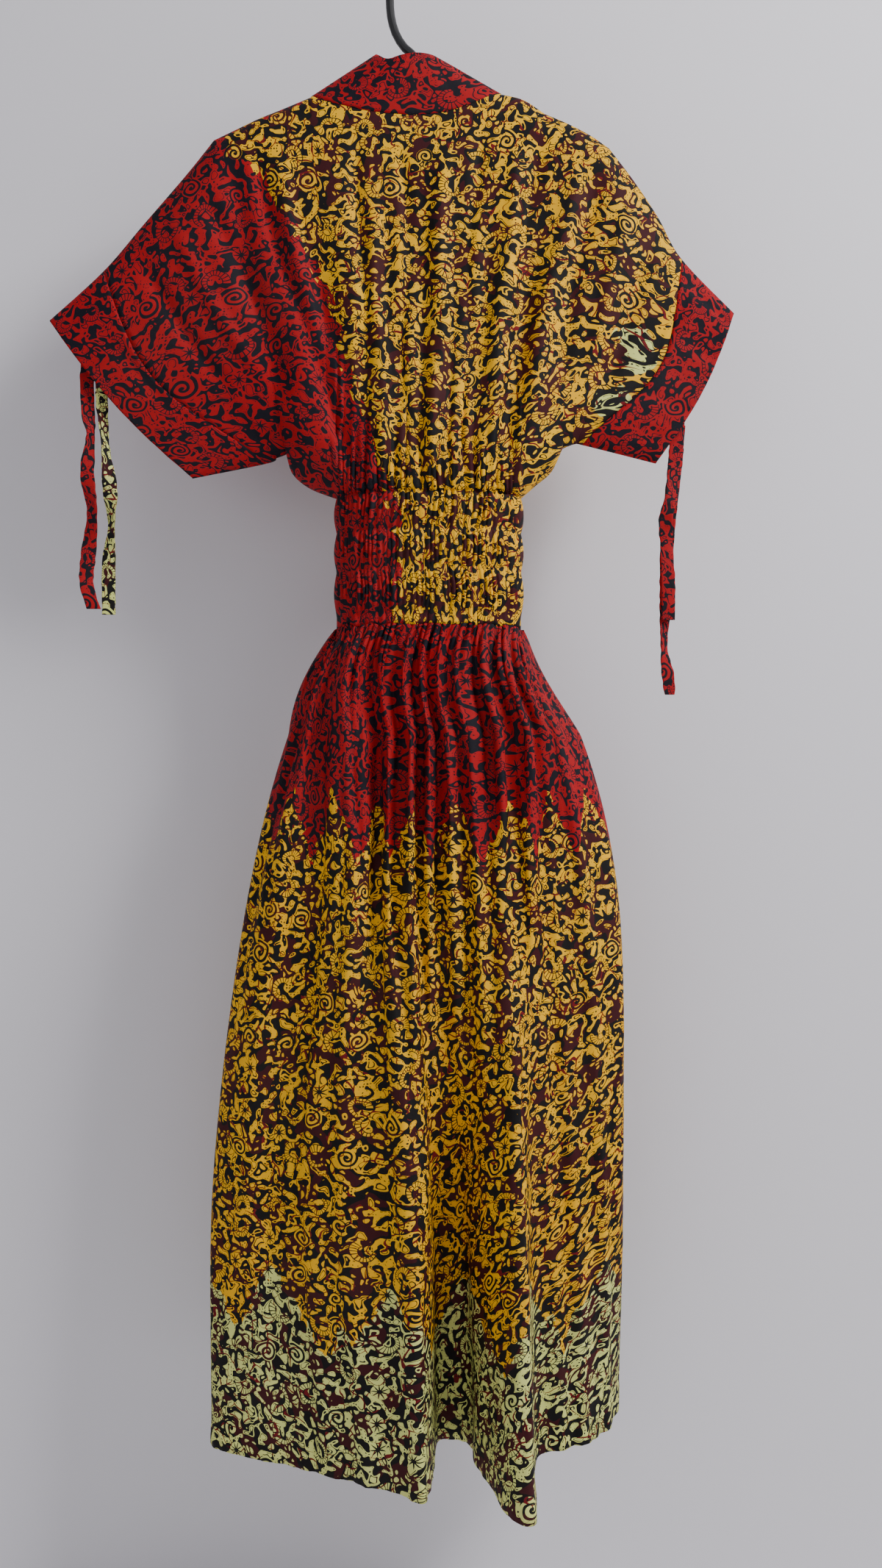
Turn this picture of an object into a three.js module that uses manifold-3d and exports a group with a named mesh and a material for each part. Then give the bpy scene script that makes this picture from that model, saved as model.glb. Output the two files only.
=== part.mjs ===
// The back of a full-length wax print dress, hung on a one-piece tubular clothes hanger.
// Millimetres, +Z up. The back of the dress faces -Y and its front +Y; +X is to the right of someone
// who looks at the back. The origin is the highest point inside the hanger's hook, where a rail holds it.
// Every cloth piece is a wall: its inner face comes from the tables below, and its outer face lies
// one thickness further out.

import * as THREE from "three";
import { mergeVertices } from "three/addons/utils/BufferGeometryUtils.js";
import Module from "manifold-3d";

// ---------------------------------------------------------------- driving dimensions

const CLOTH = 1.2; // one layer of cotton, as a wall
const BAND = 1.6; // the neckband is folded double
const SEAM_INSET = 0.25; // each piece stops this far short of a seam line

const WAIST_Z = -697; // seam between bodice and skirt
const ELASTIC_Z = [-557, -596, -637, -684]; // rows of elastic across the waist
const ELASTIC_PUFF = 3; // the cloth stands out this far between two rows
const WAIST = { centre: 17, halfWidth: 98, back: 44, front: 36, power: 2.3 };
const GATHER_SWAY = 8; // the skirt hangs this far to the left just below its gathers
const NEAR_SEAM = 1; // points this close to the waist seam's height lie on it

const CUFF_T = 0.25; // share of the sleeve, from its opening, that the cuff takes
const CUFF_BOW = 0.09; // the cuff's seam bows this share towards the opening
const OPENING_BOW = 9; // the opening's edge bows outwards
const UNDERARM_REACH = 60; // from a fold or the waist to where the cloth is at its full depth
const PLEAT_TOP_Z = -170; // the back's pleats start here and run down to the first row of elastic
const PLEAT_GROWTH = [0.02, 0.45]; // shares of that run over which they deepen

const TUBE = 9; // hanger tube
const HOOK_INSIDE = 20.5; // inner radius of the hook
const HOOK_END = 12; // degrees, where the crook stops
const BAR_OVERLAP = 4; // the bar runs this far into each bent end
const HANGER = { apexX: 4, apexZ: -88, half: 205, slope: 25, tilt: -1.3, corner: 10, apexRadius: 26 };

// Steps of the faceted surfaces.
const ACROSS = { cuff: 3, band: 3, skirtBack: 46, skirtFront: 24 };
const TIE_STEPS = 12;
const HANGER_STEPS = { corner: 6, apex: 4, neck: 9, crook: 14, quarterTube: 6, tipAround: 12, tipDown: 6 };
const WELD = 0.02; // points this close are one
const SHARPEST_MITRE = 0.06; // keeps a sharp corner of a rim from running away

// ---------------------------------------------------------------- tables

// Turns rows of numbers into rows with named columns.
const table = (columns, rows) =>
  rows.map((row) => Object.fromEntries(columns.map((name, i) => [name, row[i]])));

// Columns of cloth from the top edge (overarm, shoulder or neck seam) to the bottom edge (underarm,
// side or waist), left to right. upper and lower are the depth of one layer near each end, and
// round is the radius of the fold along the top, wide where the hanger's arm lies in it.
// backZ is the height of the neck seam on the back, and frontZ that on the front: a V.
const COLUMNS = ["topX", "backZ", "frontZ", "bottomX", "bottomZ", "upper", "lower", "round"];
const station = (rows) => table(COLUMNS, rows);
const SEGMENTS = {
  left_sleeve: station([
    [-390, -367, -367, -237, -535, 8, 9, 2.5],
    [-332, -314, -314, -158, -519, 13, 14, 2.5],
    [-289, -264, -264, -147, -513, 16, 19, 3],
    [-243, -211, -211, -139, -510, 17, 23, 5],
    [-213, -174, -174, -133, -507, 16, 26, 8],
  ]),
  left_side: station([
    [-190, -163, -163, -132, -523, 16, 28, 8],
    [-165, -151, -151, -125, -535, 16, 33, 8],
    [-140, -141, -141, -108, -547, 16, 40, 8],
    [-109, -128, -128, -81, -557, 17, 43, 8],
  ]),
  neck: station([
    [-96, -137, -162, -69, -557, 18, 45, 8],
    [-73, -144, -220, -52, -557, 19, 48, 8],
    [-49, -149.5, -281, -34, -557, 20, 50, 8],
    [-25, -152.5, -342, -12, -557, 21, 52, 8],
    [6, -154, -420, 16, -557, 21, 53, 8],
    [38, -150, -313, 42, -557, 21, 52, 8],
    [66, -140, -219, 66, -557, 20, 50, 8],
    [94, -125, -125, 88, -557, 18, 47, 8],
  ]),
  right_shoulder: station([
    [118, -131, -131, 103, -557, 17, 45, 8],
    [141, -146, -146, 115, -557, 16, 42, 8],
  ]),
  right_side: station([
    [165, -156, -156, 131, -543, 16, 38, 8],
    [190, -169, -169, 148, -528, 16, 32, 8],
    [210, -183, -183, 160, -503, 17, 28, 8],
  ]),
  right_sleeve: station([
    [237, -218, -218, 167, -500, 18, 25, 5],
    [263, -257, -257, 174, -498, 17, 20, 3],
    [288, -301, -301, 182, -499, 13, 14, 2.5],
    [344, -359, -359, 261, -519, 8, 9, 2.5],
  ]),
};

// Soft pleats of the back, radiating from the waist: x at the shoulder blades and at the waist.
const PLEATS = table(["shoulderX", "waistX", "depth", "width"], [
  [-118, -58, 7, 15],
  [-30, -20, 6, 11],
  [12, 8, 7, 11],
  [52, 34, 6, 11],
  [88, 62, 6, 11],
  [150, 92, 7, 13],
]);

// The skirt's folds, left to right: where each line of cloth lies at five heights, and how low its
// hem hangs. y is negative towards the back.
const SKIRT_Z = [WAIST_Z, -811, -970, -1286];
const HEIGHTS = ["waist", "hip", "thigh", "knee", "hem"];
const FOLD = [..."XY"].flatMap((axis) => HEIGHTS.map((height) => height + axis)).concat("hemZ");
const SIDE_LEFT = [-84, -133, -174, -214, -216, 0, 0, 0, 0, 0, -1564];
const SIDE_RIGHT = [119, 179, 218, 226, 226, 0, 0, 0, 8, 45, -1543];
const BACK_FOLDS = table(FOLD, [
  SIDE_LEFT,
  [-81, -128, -168, -208, -208, -12, -16, -16, -12, -22, -1566],
  [-74, -112, -140, -180, -172, -24, -36, -40, -30, -38, -1568],
  [-66, -96, -101, -137, -122, -30, -32, -40, -38, -54, -1570],
  [-56, -74, -76, -100, -85, -37, -54, -62, -62, -72, -1570],
  [-44, -52, -50, -62, -44, -40, -52, -66, -78, -90, -1571],
  [-33, -34, -32, -24, -14, -41, -42, -58, -88, -101, -1573],
  [-22, -24, -24, -4, 6, -46, -60, -72, -104, -112, -1575],
  [-11, -13, -16, 8, 14, -43, -46, -66, -103, -111, -1575],
  [-1, -2, -2, 15, 19, -48, -64, -78, -90, -98, -1573],
  [8, 9, 9, 19, 21, -45, -50, -66, -60, -58, -1566],
  [16, 18, 18, 25, 26, -49, -64, -74, -38, -24, -1560],
  [24, 26, 28, 40, 44, -45, -48, -62, -34, -15, -1560],
  [33, 36, 42, 54, 61, -49, -64, -74, -38, -26, -1562],
  [43, 46, 56, 64, 68, -45, -50, -62, -52, -60, -1566],
  [53, 58, 67, 76, 80, -48, -62, -74, -74, -92, -1570],
  [64, 76, 80, 92, 94, -43, -48, -66, -90, -128, -1578],
  [75, 90, 96, 108, 110, -45, -60, -74, -100, -143, -1581],
  [86, 106, 112, 118, 123, -38, -44, -60, -90, -134, -1580],
  [96, 118, 124, 126, 130, -37, -54, -62, -52, -44, -1566],
  [105, 132, 146, 158, 164, -28, -40, -44, -40, -32, -1562],
  [113, 152, 178, 190, 196, -22, -38, -40, -30, -12, -1560],
  [116, 172, 210, 219, 219, -12, -18, -20, -14, 18, -1552],
  SIDE_RIGHT,
]);
const FRONT_FOLDS = table(FOLD, [
  SIDE_LEFT,
  [-78, -125, -165, -203, -206, 12, 14, 12, 10, 12, -1566],
  [-66, -100, -128, -160, -152, 24, 32, 30, 26, 30, -1566],
  [-48, -72, -88, -112, -104, 29, 24, 22, 22, 20, -1565],
  [-28, -40, -48, -62, -56, 33, 36, 34, 32, 34, -1565],
  [-8, -10, -12, -16, -12, 35, 28, 26, 24, 22, -1564],
  [14, 18, 22, 26, 30, 36, 38, 36, 34, 38, -1562],
  [36, 46, 56, 70, 74, 35, 28, 26, 26, 26, -1560],
  [58, 76, 92, 112, 116, 32, 36, 34, 34, 40, -1556],
  [80, 106, 128, 152, 158, 27, 24, 22, 26, 34, -1552],
  [100, 140, 168, 192, 198, 20, 30, 28, 34, 50, -1548],
  [114, 170, 208, 220, 224, 9, 12, 14, 24, 58, -1544],
  SIDE_RIGHT,
]);

// The neckband stands on the neck seam. Its free edge runs from one shoulder fold to the other along
// the back, and from each fold down to the point of the front's V.
const BAND_TOP = table(["x", "z"], [
  [-40, -83],
  [-28, -93],
  [-13, -90],
  [2, -86],
  [14, -85],
  [26, -86],
]);
const BAND_POINT = { x: 6, z: -292 };
const V_POINT_X = 6; // the front neck seams meet here
const NECK_DEPTH = { back: 18, shoulder: 13, point: 24, top: -127, bottom: -420, round: 8 };

// The four ties: the middle of the strap at each height, its width there, and how far it is turned.
const TIE = ["x", "y", "z", "width", "turn"];
const TIE_THICKNESS = 2;
const TIES = {
  tie_left_outer: table(TIE, [
    [-349, 3, -404, 16, 0],
    [-351, 2, -430, 15, 5],
    [-349, 0, -470, 14, 20],
    [-346, -2, -490, 12, 62],
    [-350, -1, -530, 15, 12],
    [-345, 0, -572, 14, -30],
    [-349, 1, -615, 16, 8],
    [-351, 0, -648, 15, 20],
    [-343, -1, -676, 15, 5],
  ]),
  tie_left_inner: table(TIE, [
    [-334, 3, -420, 15, 0],
    [-335, 2, -452, 13, 12],
    [-331, 1, -500, 10, 48],
    [-326, 0, -545, 16, 5],
    [-324, -1, -585, 12, -44],
    [-327, 0, -625, 15, -8],
    [-327, 0, -682, 14, 6],
  ]),
  tie_right_front: table(TIE, [
    [284, 0, -474, 15, 0],
    [282, -1, -515, 16, 6],
    [277, -3, -556, 15, 20],
    [271, -3, -580, 15, -12],
    [272, -3, -610, 14, 10],
    [274, -2, -650, 15, 4],
    [274, -2, -688, 14, 0],
  ]),
  tie_right_behind: table(TIE, [
    [286, 4, -478, 15, 0],
    [280, 4, -540, 15, -4],
    [274, 4, -600, 15, 4],
    [272, 4, -665, 13, 0],
    [270, 2, -714, 10, 40],
    [274, 2, -745, 14, 10],
    [276, 1, -768, 11, 0],
  ]),
};

// The hanger's neck, from inside the arms up to the crook.
const HOOK_NECK = table(["x", "z"], [
  [8, -95],
  [2, -83],
  [-10, -72],
  [-19, -57],
  [-24, -38],
]);

const FINISH = {
  red: { color: 0x9c1622, roughness: 0.82, metalness: 0 },
  bodice: { color: 0xb98a1c, roughness: 0.82, metalness: 0 },
  skirt: { color: 0xa87f1e, roughness: 0.82, metalness: 0 },
  tie: { color: 0x7c5a40, roughness: 0.85, metalness: 0 },
  black_plastic: { color: 0x111113, roughness: 0.38, metalness: 0 },
};

// ---------------------------------------------------------------- helpers

const { clamp, lerp, smoothstep, degToRad } = THREE.MathUtils;
const steps = (count) => Array.from({ length: count + 1 }, (_, i) => i / count);

// One column of a table as a smooth line through its rows, t from 0 to 1.
function smoothColumn(rows, name, t) {
  const last = rows.length - 1;
  const i = Math.min(Math.floor(t * last), last - 1);
  const f = t * last - i;
  const value = (k) => rows[clamp(k, 0, last)][name];
  const [a, b, c, d] = [value(i - 1), value(i), value(i + 1), value(i + 2)];
  return b + 0.5 * f * (c - a + f * (2 * a - 5 * b + 4 * c - d + f * (3 * (b - c) + d - a)));
}

// 0 at a folded edge, rising like a quarter ellipse to 1 at reach.
function roundEdge(distance, reach) {
  const left = 1 - clamp(distance / reach, 0, 1);
  return Math.sqrt(1 - left * left);
}

// A grid of points as an open sheet. The columns run left to right and their points downwards;
// back turns its faces towards -Y, and loop joins the last column to the first.
function gridSheet(columns, back, loop = false) {
  const points = columns.flat();
  const faces = [];
  let start = 0;
  const starts = columns.map((column) => (start += column.length) - column.length);
  const count = loop ? columns.length : columns.length - 1;
  for (let i = 0; i < count; i++) {
    const next = (i + 1) % columns.length;
    const rows = Math.min(columns[i].length, columns[next].length) - 1;
    for (let j = 0; j < rows; j++) {
      const [a, b] = [starts[i] + j, starts[next] + j];
      const quad = [[a, a + 1, b + 1], [a, b + 1, b]];
      faces.push(...(back ? quad : quad.map(([p, q, r]) => [p, r, q])));
    }
  }
  return { points, faces };
}

// Edges of a sheet that belong to one face only, in the direction of that face.
function rimEdges(faces) {
  const seen = new Set(faces.flatMap(([a, b, c]) => [`${a},${b}`, `${b},${c}`, `${c},${a}`]));
  return [...seen].map((key) => key.split(",").map(Number)).filter(([a, b]) => !seen.has(`${b},${a}`));
}

function vertexNormals({ points, faces }) {
  const normals = points.map(() => new THREE.Vector3());
  for (const [a, b, c] of faces) {
    const side = points[b].clone().sub(points[a]).cross(points[c].clone().sub(points[a]));
    for (const corner of [a, b, c]) normals[corner].add(side);
  }
  return normals.map((normal) => normal.normalize());
}

// Sheets sewn together share their rim points. Each such point has one outward direction, the mean
// of all the pieces that meet there, so that their rims stay parallel.
const placeOf = (point) => point.toArray().map((value) => Math.round(value / WELD)).join(",");

function sewnNormals(sheets) {
  const shared = new Map();
  for (const sheet of sheets) {
    vertexNormals(sheet).forEach((normal, i) => {
      const place = placeOf(sheet.points[i]);
      shared.set(place, (shared.get(place) ?? new THREE.Vector3()).add(normal));
    });
  }
  return shared;
}

// Where each rim point goes when the rim is drawn in by SEAM_INSET, square to its two edges.
function drawnIn({ points, faces }, normals) {
  const sides = points.map(() => []);
  for (const [a, b] of rimEdges(faces)) {
    const run = points[b].clone().sub(points[a]).normalize();
    for (const i of [a, b]) sides[i].push(normals[i].clone().cross(run).normalize());
  }
  return points.map((point, i) => {
    if (sides[i].length < 2) return point.clone();
    const [first, second] = sides[i];
    const mitre = SEAM_INSET / Math.max(SHARPEST_MITRE, 1 + first.dot(second));
    return point.clone().addScaledVector(first.clone().add(second), mitre);
  });
}

function meshOf(points, index) {
  const geometry = new THREE.BufferGeometry();
  const positions = points.flatMap((point) => point.toArray());
  geometry.setAttribute("position", new THREE.Float32BufferAttribute(positions, 3));
  geometry.setIndex(index);
  return geometry;
}

// Gives an open sheet its thickness, outwards, and closes the rim. Where isLevel says so, the rim is
// thickened level, so that it meets the next piece's rim square.
function wall({ sheet, thickness, isLevel = () => false }, shared) {
  const normals = sheet.points.map((point) => {
    const way = shared.get(placeOf(point)).clone();
    return (isLevel(point) ? way.setZ(0) : way).normalize();
  });
  const inner = drawnIn(sheet, normals);
  const outer = inner.map((point, i) => point.clone().addScaledVector(normals[i], thickness));
  const shift = inner.length;
  const index = sheet.faces.flatMap(([a, b, c]) => [a + shift, b + shift, c + shift, a, c, b]);
  for (const [a, b] of rimEdges(sheet.faces)) index.push(a, b, b + shift, a, b + shift, a + shift);
  return meshOf([...inner, ...outer], index);
}

// ---------------------------------------------------------------- bodice and sleeves

const SEGMENT_NAMES = Object.keys(SEGMENTS);

// A segment's stations, with the last one of the segment before it.
function stationsOf(name) {
  const before = SEGMENT_NAMES[SEGMENT_NAMES.indexOf(name) - 1];
  return before ? [SEGMENTS[before].at(-1), ...SEGMENTS[name]] : SEGMENTS[name];
}

const NECK_ROWS = stationsOf("neck");
const FOLD_LINES = [
  [NECK_ROWS[0], BAND_TOP[0]],
  [NECK_ROWS.at(-1), BAND_TOP.at(-1)],
].map(([seam, band]) => {
  const from = new THREE.Vector2(seam.topX, seam.backZ);
  return { from, along: new THREE.Vector2(band.x, band.z).sub(from).normalize() };
});

// Depth of one side of the waist at x: a rounded oval.
function waistDepth(x, side) {
  const across = clamp(Math.abs(x - WAIST.centre) / WAIST.halfWidth, 0, 1);
  return WAIST[side] * Math.pow(1 - Math.pow(across, WAIST.power), 1 / WAIST.power);
}

function pleatDepth(x, z) {
  const fall = clamp((z - PLEAT_TOP_Z) / (ELASTIC_Z[0] - PLEAT_TOP_Z), 0, 1);
  const trough = (pleat) => {
    const away = (x - lerp(pleat.shoulderX, pleat.waistX, fall)) / pleat.width;
    return pleat.depth * Math.exp(-away * away);
  };
  return smoothstep(fall, ...PLEAT_GROWTH) * PLEATS.reduce((sum, pleat) => sum + trough(pleat), 0);
}

// Depth of the cloth round the neck, where it wraps the hanger along each shoulder fold: a fold runs
// from the end of the neck seam up to the corner of the band.
function neckDepth(x, z, side) {
  const { back, shoulder, point, top, bottom, round } = NECK_DEPTH;
  const full = side === "back" ? back : lerp(shoulder, point, smoothstep(-z, -top, -bottom));
  const toFold = FOLD_LINES.map(({ from, along }) => {
    const away = new THREE.Vector2(x, z).sub(from);
    return Math.abs(away.cross(along));
  });
  return full * roundEdge(Math.min(...toFold), (full * full) / round);
}

// A point of the bodice's inner face: t runs across a segment and h down the column.
function bodicePoint(name, t, h, side) {
  const rows = stationsOf(name);
  const at = (column) => smoothColumn(rows, column, t);
  const top = { x: at("topX"), z: at(`${side}Z`) };
  top.depth = name === "neck" ? neckDepth(top.x, top.z, side) : 0;
  const bottom = { x: at("bottomX"), z: at("bottomZ") };
  const onWaist = name === "neck" || name === "right_shoulder";
  bottom.depth = onWaist ? waistDepth(bottom.x, side) : 0;
  const length = Math.hypot(top.x - bottom.x, top.z - bottom.z);
  const full = lerp(at("upper"), at("lower"), smoothstep(h, 0, 1)) * (WAIST[side] / WAIST.back);
  const foldReach = (at("upper") * at("upper")) / at("round");
  const fromTop = roundEdge(h * length, foldReach);
  const fromBottom = roundEdge((1 - h) * length, UNDERARM_REACH);
  let depth = bottom.depth + (full - bottom.depth) * fromBottom;
  let [x, z] = [lerp(top.x, bottom.x, h), lerp(top.z, bottom.z, h)];
  if (name.endsWith("sleeve")) {
    const toOpening = name === "left_sleeve" ? 1 - t : t;
    const bow = OPENING_BOW * toOpening * toOpening * Math.sin(Math.PI * h);
    const edge = new THREE.Vector2(bottom.z - top.z, top.x - bottom.x).normalize();
    x += edge.x * bow * (name === "left_sleeve" ? 1 : -1);
    z += edge.y * bow * (name === "left_sleeve" ? 1 : -1);
  } else if (side === "back") {
    depth -= pleatDepth(x, z) * fromBottom;
  }
  depth = lerp(top.depth, depth, fromTop);
  return new THREE.Vector3(x, side === "back" ? -depth : depth, z);
}

// Where along its sleeve the cuff's seam lies, h of the way down.
function cuffSeam(name, h) {
  const fromOpening = CUFF_T - CUFF_BOW * Math.sin(Math.PI * h);
  return name === "left_sleeve" ? fromOpening : 1 - fromOpening;
}

// The waist below the bodice: the same columns, drawn in by the rows of elastic.
function waistPoint(x, z, side) {
  const row = Math.max(1, ELASTIC_Z.findIndex((level) => z >= level));
  const [above, below] = [ELASTIC_Z[row - 1], ELASTIC_Z[row] ?? ELASTIC_Z.at(-1)];
  const between = z < ELASTIC_Z.at(-1) ? 0 : (above - z) / (above - below);
  const puff = ELASTIC_PUFF * Math.sin(Math.PI * clamp(between, 0, 1));
  const grown = 1 + puff / WAIST.halfWidth;
  const depth = waistDepth(x, side) * (1 + puff / WAIST[side]);
  const centred = WAIST.centre + (x - WAIST.centre) * grown;
  return new THREE.Vector3(centred, side === "back" ? -depth : depth, z);
}

// The bodice is cut in one with its sleeves and the shirred waist.
function bodice(side, columnsAt, down, waistLevels) {
  const columns = [];
  for (const name of SEGMENT_NAMES) {
    const onWaist = name === "neck" || name === "right_shoulder";
    const first = name === "left_sleeve" ? 0 : 1;
    for (const t of columnsAt[name].slice(first)) {
      const column = down.map((h) => {
        const seam = cuffSeam(name, h);
        let along = t;
        if (name === "left_sleeve") along = lerp(seam, 1, t);
        if (name === "right_sleeve") along = lerp(0, seam, t);
        return bodicePoint(name, along, h, side);
      });
      const atCorner = name === "left_side" && t === 1;
      if (onWaist || atCorner) {
        const x = smoothColumn(stationsOf(name), "bottomX", t);
        column.push(...waistLevels.map((z) => waistPoint(x, z, side)));
      }
      columns.push(column);
    }
  }
  const isLevel = (point) => point.z < WAIST_Z + NEAR_SEAM;
  return { sheet: gridSheet(columns, side === "back"), thickness: CLOTH, isLevel };
}

// A cuff is one strip round the sleeve's end.
function cuff(name, downBack, downFront) {
  const opening = name === "left_sleeve" ? 0 : 1;
  const up = downFront.slice(1, -1).reverse();
  const ring = [...downBack.map((h) => [h, "back"]), ...up.map((h) => [h, "front"])];
  const columns = ring.map(([h, side]) =>
    steps(ACROSS.cuff).map((f) => bodicePoint(name, lerp(opening, cuffSeam(name, h), f), h, side)),
  );
  return { sheet: gridSheet(columns, name === "right_sleeve", true), thickness: CLOTH };
}

// ---------------------------------------------------------------- neckband

// Columns across the neck, closer together by the shoulder folds. One meets the point of the V.
const NECK_COLUMNS = [
  0, 0.01, 0.03, 0.07, 0.14, 0.21, 0.28, 0.35, 0.42, 0.49, 0.56,
  0.625, 0.69, 0.76, 0.83, 0.89, 0.93, 0.965, 0.985, 0.995, 1,
];

// Columns of a band, each from its free edge to the neck seam.
function band(side, ends) {
  const columns = ends.map(([t, free]) => {
    const seam = bodicePoint("neck", t, 0, side);
    return steps(ACROSS.band).map((w) => {
      const [x, z] = [lerp(free.x, seam.x, w), lerp(free.z, seam.z, w)];
      const depth = neckDepth(x, z, side);
      return new THREE.Vector3(x, side === "back" ? -depth : depth, z);
    });
  });
  return { sheet: gridSheet(columns, side === "back"), thickness: BAND };
}

function neckbandBack() {
  const free = (t) => ({ x: smoothColumn(BAND_TOP, "x", t), z: smoothColumn(BAND_TOP, "z", t) });
  return band("back", NECK_COLUMNS.map((t) => [t, free(t)]));
}

// Each front band runs from the shoulder fold to the point of the V.
function neckbandFront(isLeft) {
  const fold = isLeft ? BAND_TOP[0] : BAND_TOP.at(-1);
  const pointT = NECK_ROWS.findIndex((row) => row.topX === V_POINT_X) / (NECK_ROWS.length - 1);
  const mine = NECK_COLUMNS.filter((t) => (isLeft ? t <= pointT : t >= pointT));
  const share = (t) => (isLeft ? t / pointT : (1 - t) / (1 - pointT));
  const free = (t) => ({
    x: lerp(fold.x, BAND_POINT.x, share(t)),
    z: lerp(fold.z, BAND_POINT.z, share(t)),
  });
  return band("front", mine.map((t) => [t, free(t)]));
}

// ---------------------------------------------------------------- skirt

function skirtPoint(folds, t, v) {
  const at = (name) => smoothColumn(folds, name, t);
  const levels = [...SKIRT_Z, at("hemZ")];
  const line = HEIGHTS.map((height, i) => new THREE.Vector3(at(`${height}X`), at(`${height}Y`), levels[i]));
  const point = new THREE.CatmullRomCurve3(line).getPoint(v);
  point.x -= GATHER_SWAY * Math.sin(Math.PI * clamp((WAIST_Z - point.z) / (WAIST_Z - levels[1]), 0, 1));
  return point;
}

function skirt(folds, side, count, down) {
  const columns = steps(count).map((t) => down.map((v) => skirtPoint(folds, t, v)));
  const isLevel = (point) => point.z > WAIST_Z - NEAR_SEAM;
  return { sheet: gridSheet(columns, side === "back"), thickness: CLOTH, isLevel };
}

// ---------------------------------------------------------------- ties

// A flat strap through its stations: four corners at each, and an end across the first and last.
function strap(stations) {
  const points = [];
  for (const t of steps(TIE_STEPS)) {
    const at = (name) => smoothColumn(stations, name, t);
    const middle = new THREE.Vector3(at("x"), at("y"), at("z"));
    const turn = degToRad(at("turn"));
    const across = new THREE.Vector3(Math.cos(turn), Math.sin(turn), 0);
    const through = new THREE.Vector3(-across.y, across.x, 0);
    for (const [a, b] of [[-1, -1], [1, -1], [1, 1], [-1, 1]]) {
      points.push(
        middle.clone()
          .addScaledVector(across, (a * at("width")) / 2)
          .addScaledVector(through, (b * TIE_THICKNESS) / 2),
      );
    }
  }
  const index = [0, 2, 1, 0, 3, 2];
  for (let i = 0; i < TIE_STEPS; i++) {
    for (let k = 0; k < 4; k++) {
      const [a, b] = [4 * i + k, 4 * i + ((k + 1) % 4)];
      index.push(a, b, b + 4, a, b + 4, a + 4);
    }
  }
  const end = 4 * TIE_STEPS;
  index.push(end, end + 1, end + 2, end, end + 2, end + 3);
  return meshOf(points, index.reverse());
}

// ---------------------------------------------------------------- hanger

const wasm = await Module();
wasm.setup();

function toSolid(geometry) {
  const bare = geometry.clone();
  bare.deleteAttribute("normal");
  bare.deleteAttribute("uv");
  const merged = mergeVertices(bare, 1e-4);
  const vertProperties = new Float32Array(merged.attributes.position.array);
  const triVerts = new Uint32Array(merged.index.array);
  return new wasm.Manifold(new wasm.Mesh({ numProp: 3, vertProperties, triVerts }));
}

function toGeometry(solid) {
  const mesh = solid.getMesh();
  const geometry = new THREE.BufferGeometry();
  geometry.setAttribute("position", new THREE.Float32BufferAttribute(mesh.vertProperties, 3));
  geometry.setIndex([...mesh.triVerts]);
  return geometry;
}

// A route straight from point to point, with one step of the tube for each point.
class Route extends THREE.Curve {
  constructor(points) {
    super();
    this.points = points;
  }
  getPoint(t) {
    const last = this.points.length - 1;
    const i = Math.min(Math.floor(t * last), last - 1);
    return this.points[i].clone().lerp(this.points[i + 1], t * last - i);
  }
  getPointAt(t) {
    return this.getPoint(t);
  }
  getTangentAt(t) {
    return this.getTangent(t);
  }
}

function tube(points) {
  const section = new THREE.Shape().absarc(0, 0, TUBE / 2, 0, 2 * Math.PI);
  return new THREE.ExtrudeGeometry(section, {
    extrudePath: new Route(points),
    steps: points.length - 1,
    curveSegments: HANGER_STEPS.quarterTube,
  });
}

// A corner between two straight runs, rounded by arc.
function roundedCorner(before, corner, after, radius, count) {
  const inward = before.clone().sub(corner).normalize();
  const onward = after.clone().sub(corner).normalize();
  const half = inward.angleTo(onward) / 2;
  const middle = inward.clone().add(onward).normalize();
  const centre = corner.clone().addScaledVector(middle, radius / Math.sin(half));
  const [start, end] = [inward, onward].map((way) =>
    corner.clone().addScaledVector(way, radius / Math.tan(half)).sub(centre).normalize(),
  );
  const turn = new THREE.Quaternion().setFromUnitVectors(start, end);
  return steps(count).map((f) => {
    const part = new THREE.Quaternion().slerp(turn, f);
    return start.clone().applyQuaternion(part).multiplyScalar(radius).add(centre);
  });
}

function hanger() {
  const { apexX, apexZ, half, slope, tilt, corner, apexRadius } = HANGER;
  const sharp = half + corner * (1 / Math.sin(degToRad(slope) / 2) - 1);
  const drop = sharp * Math.tan(degToRad(slope));
  const place = (x, z) => {
    const turned = new THREE.Vector2(x, z).rotateAround(new THREE.Vector2(0, 0), degToRad(tilt));
    return new THREE.Vector3(apexX + turned.x, 0, apexZ + turned.y);
  };
  const [left, apex, right] = [place(-sharp, -drop), place(0, 0), place(sharp, -drop)];
  const barEnds = [-1, 1].map((way) => place(way * (half - 2 * corner), -drop));
  const bar = [-1, 1].map((way) => place(way * (half - 2 * corner + BAR_OVERLAP), -drop));
  const arms = [
    barEnds[0],
    ...roundedCorner(barEnds[0], left, apex, corner, HANGER_STEPS.corner),
    ...roundedCorner(left, apex, right, apexRadius, HANGER_STEPS.apex),
    ...roundedCorner(apex, right, barEnds[1], corner, HANGER_STEPS.corner),
    barEnds[1],
  ];
  const centre = HOOK_INSIDE + TUBE / 2;
  const crook = steps(HANGER_STEPS.crook).map((f) => {
    const angle = degToRad(lerp(180, HOOK_END, f));
    return new THREE.Vector3(centre * Math.cos(angle), 0, centre * Math.sin(angle) - HOOK_INSIDE);
  });
  const neck = HOOK_NECK.map(({ x, z }) => new THREE.Vector3(x, 0, z));
  const neckLine = new THREE.CatmullRomCurve3([...neck, crook[0]]);
  const hook = neckLine.getSpacedPoints(HANGER_STEPS.neck).slice(0, -1);
  const tip = new THREE.SphereGeometry(TUBE / 2, HANGER_STEPS.tipAround, HANGER_STEPS.tipDown);
  tip.translate(...crook.at(-1).toArray());
  const pieces = [tube(arms), tube(bar), tube([...hook, ...crook]), tip].map(toSolid);
  return toGeometry(pieces.reduce((whole, piece) => whole.add(piece)));
}

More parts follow.
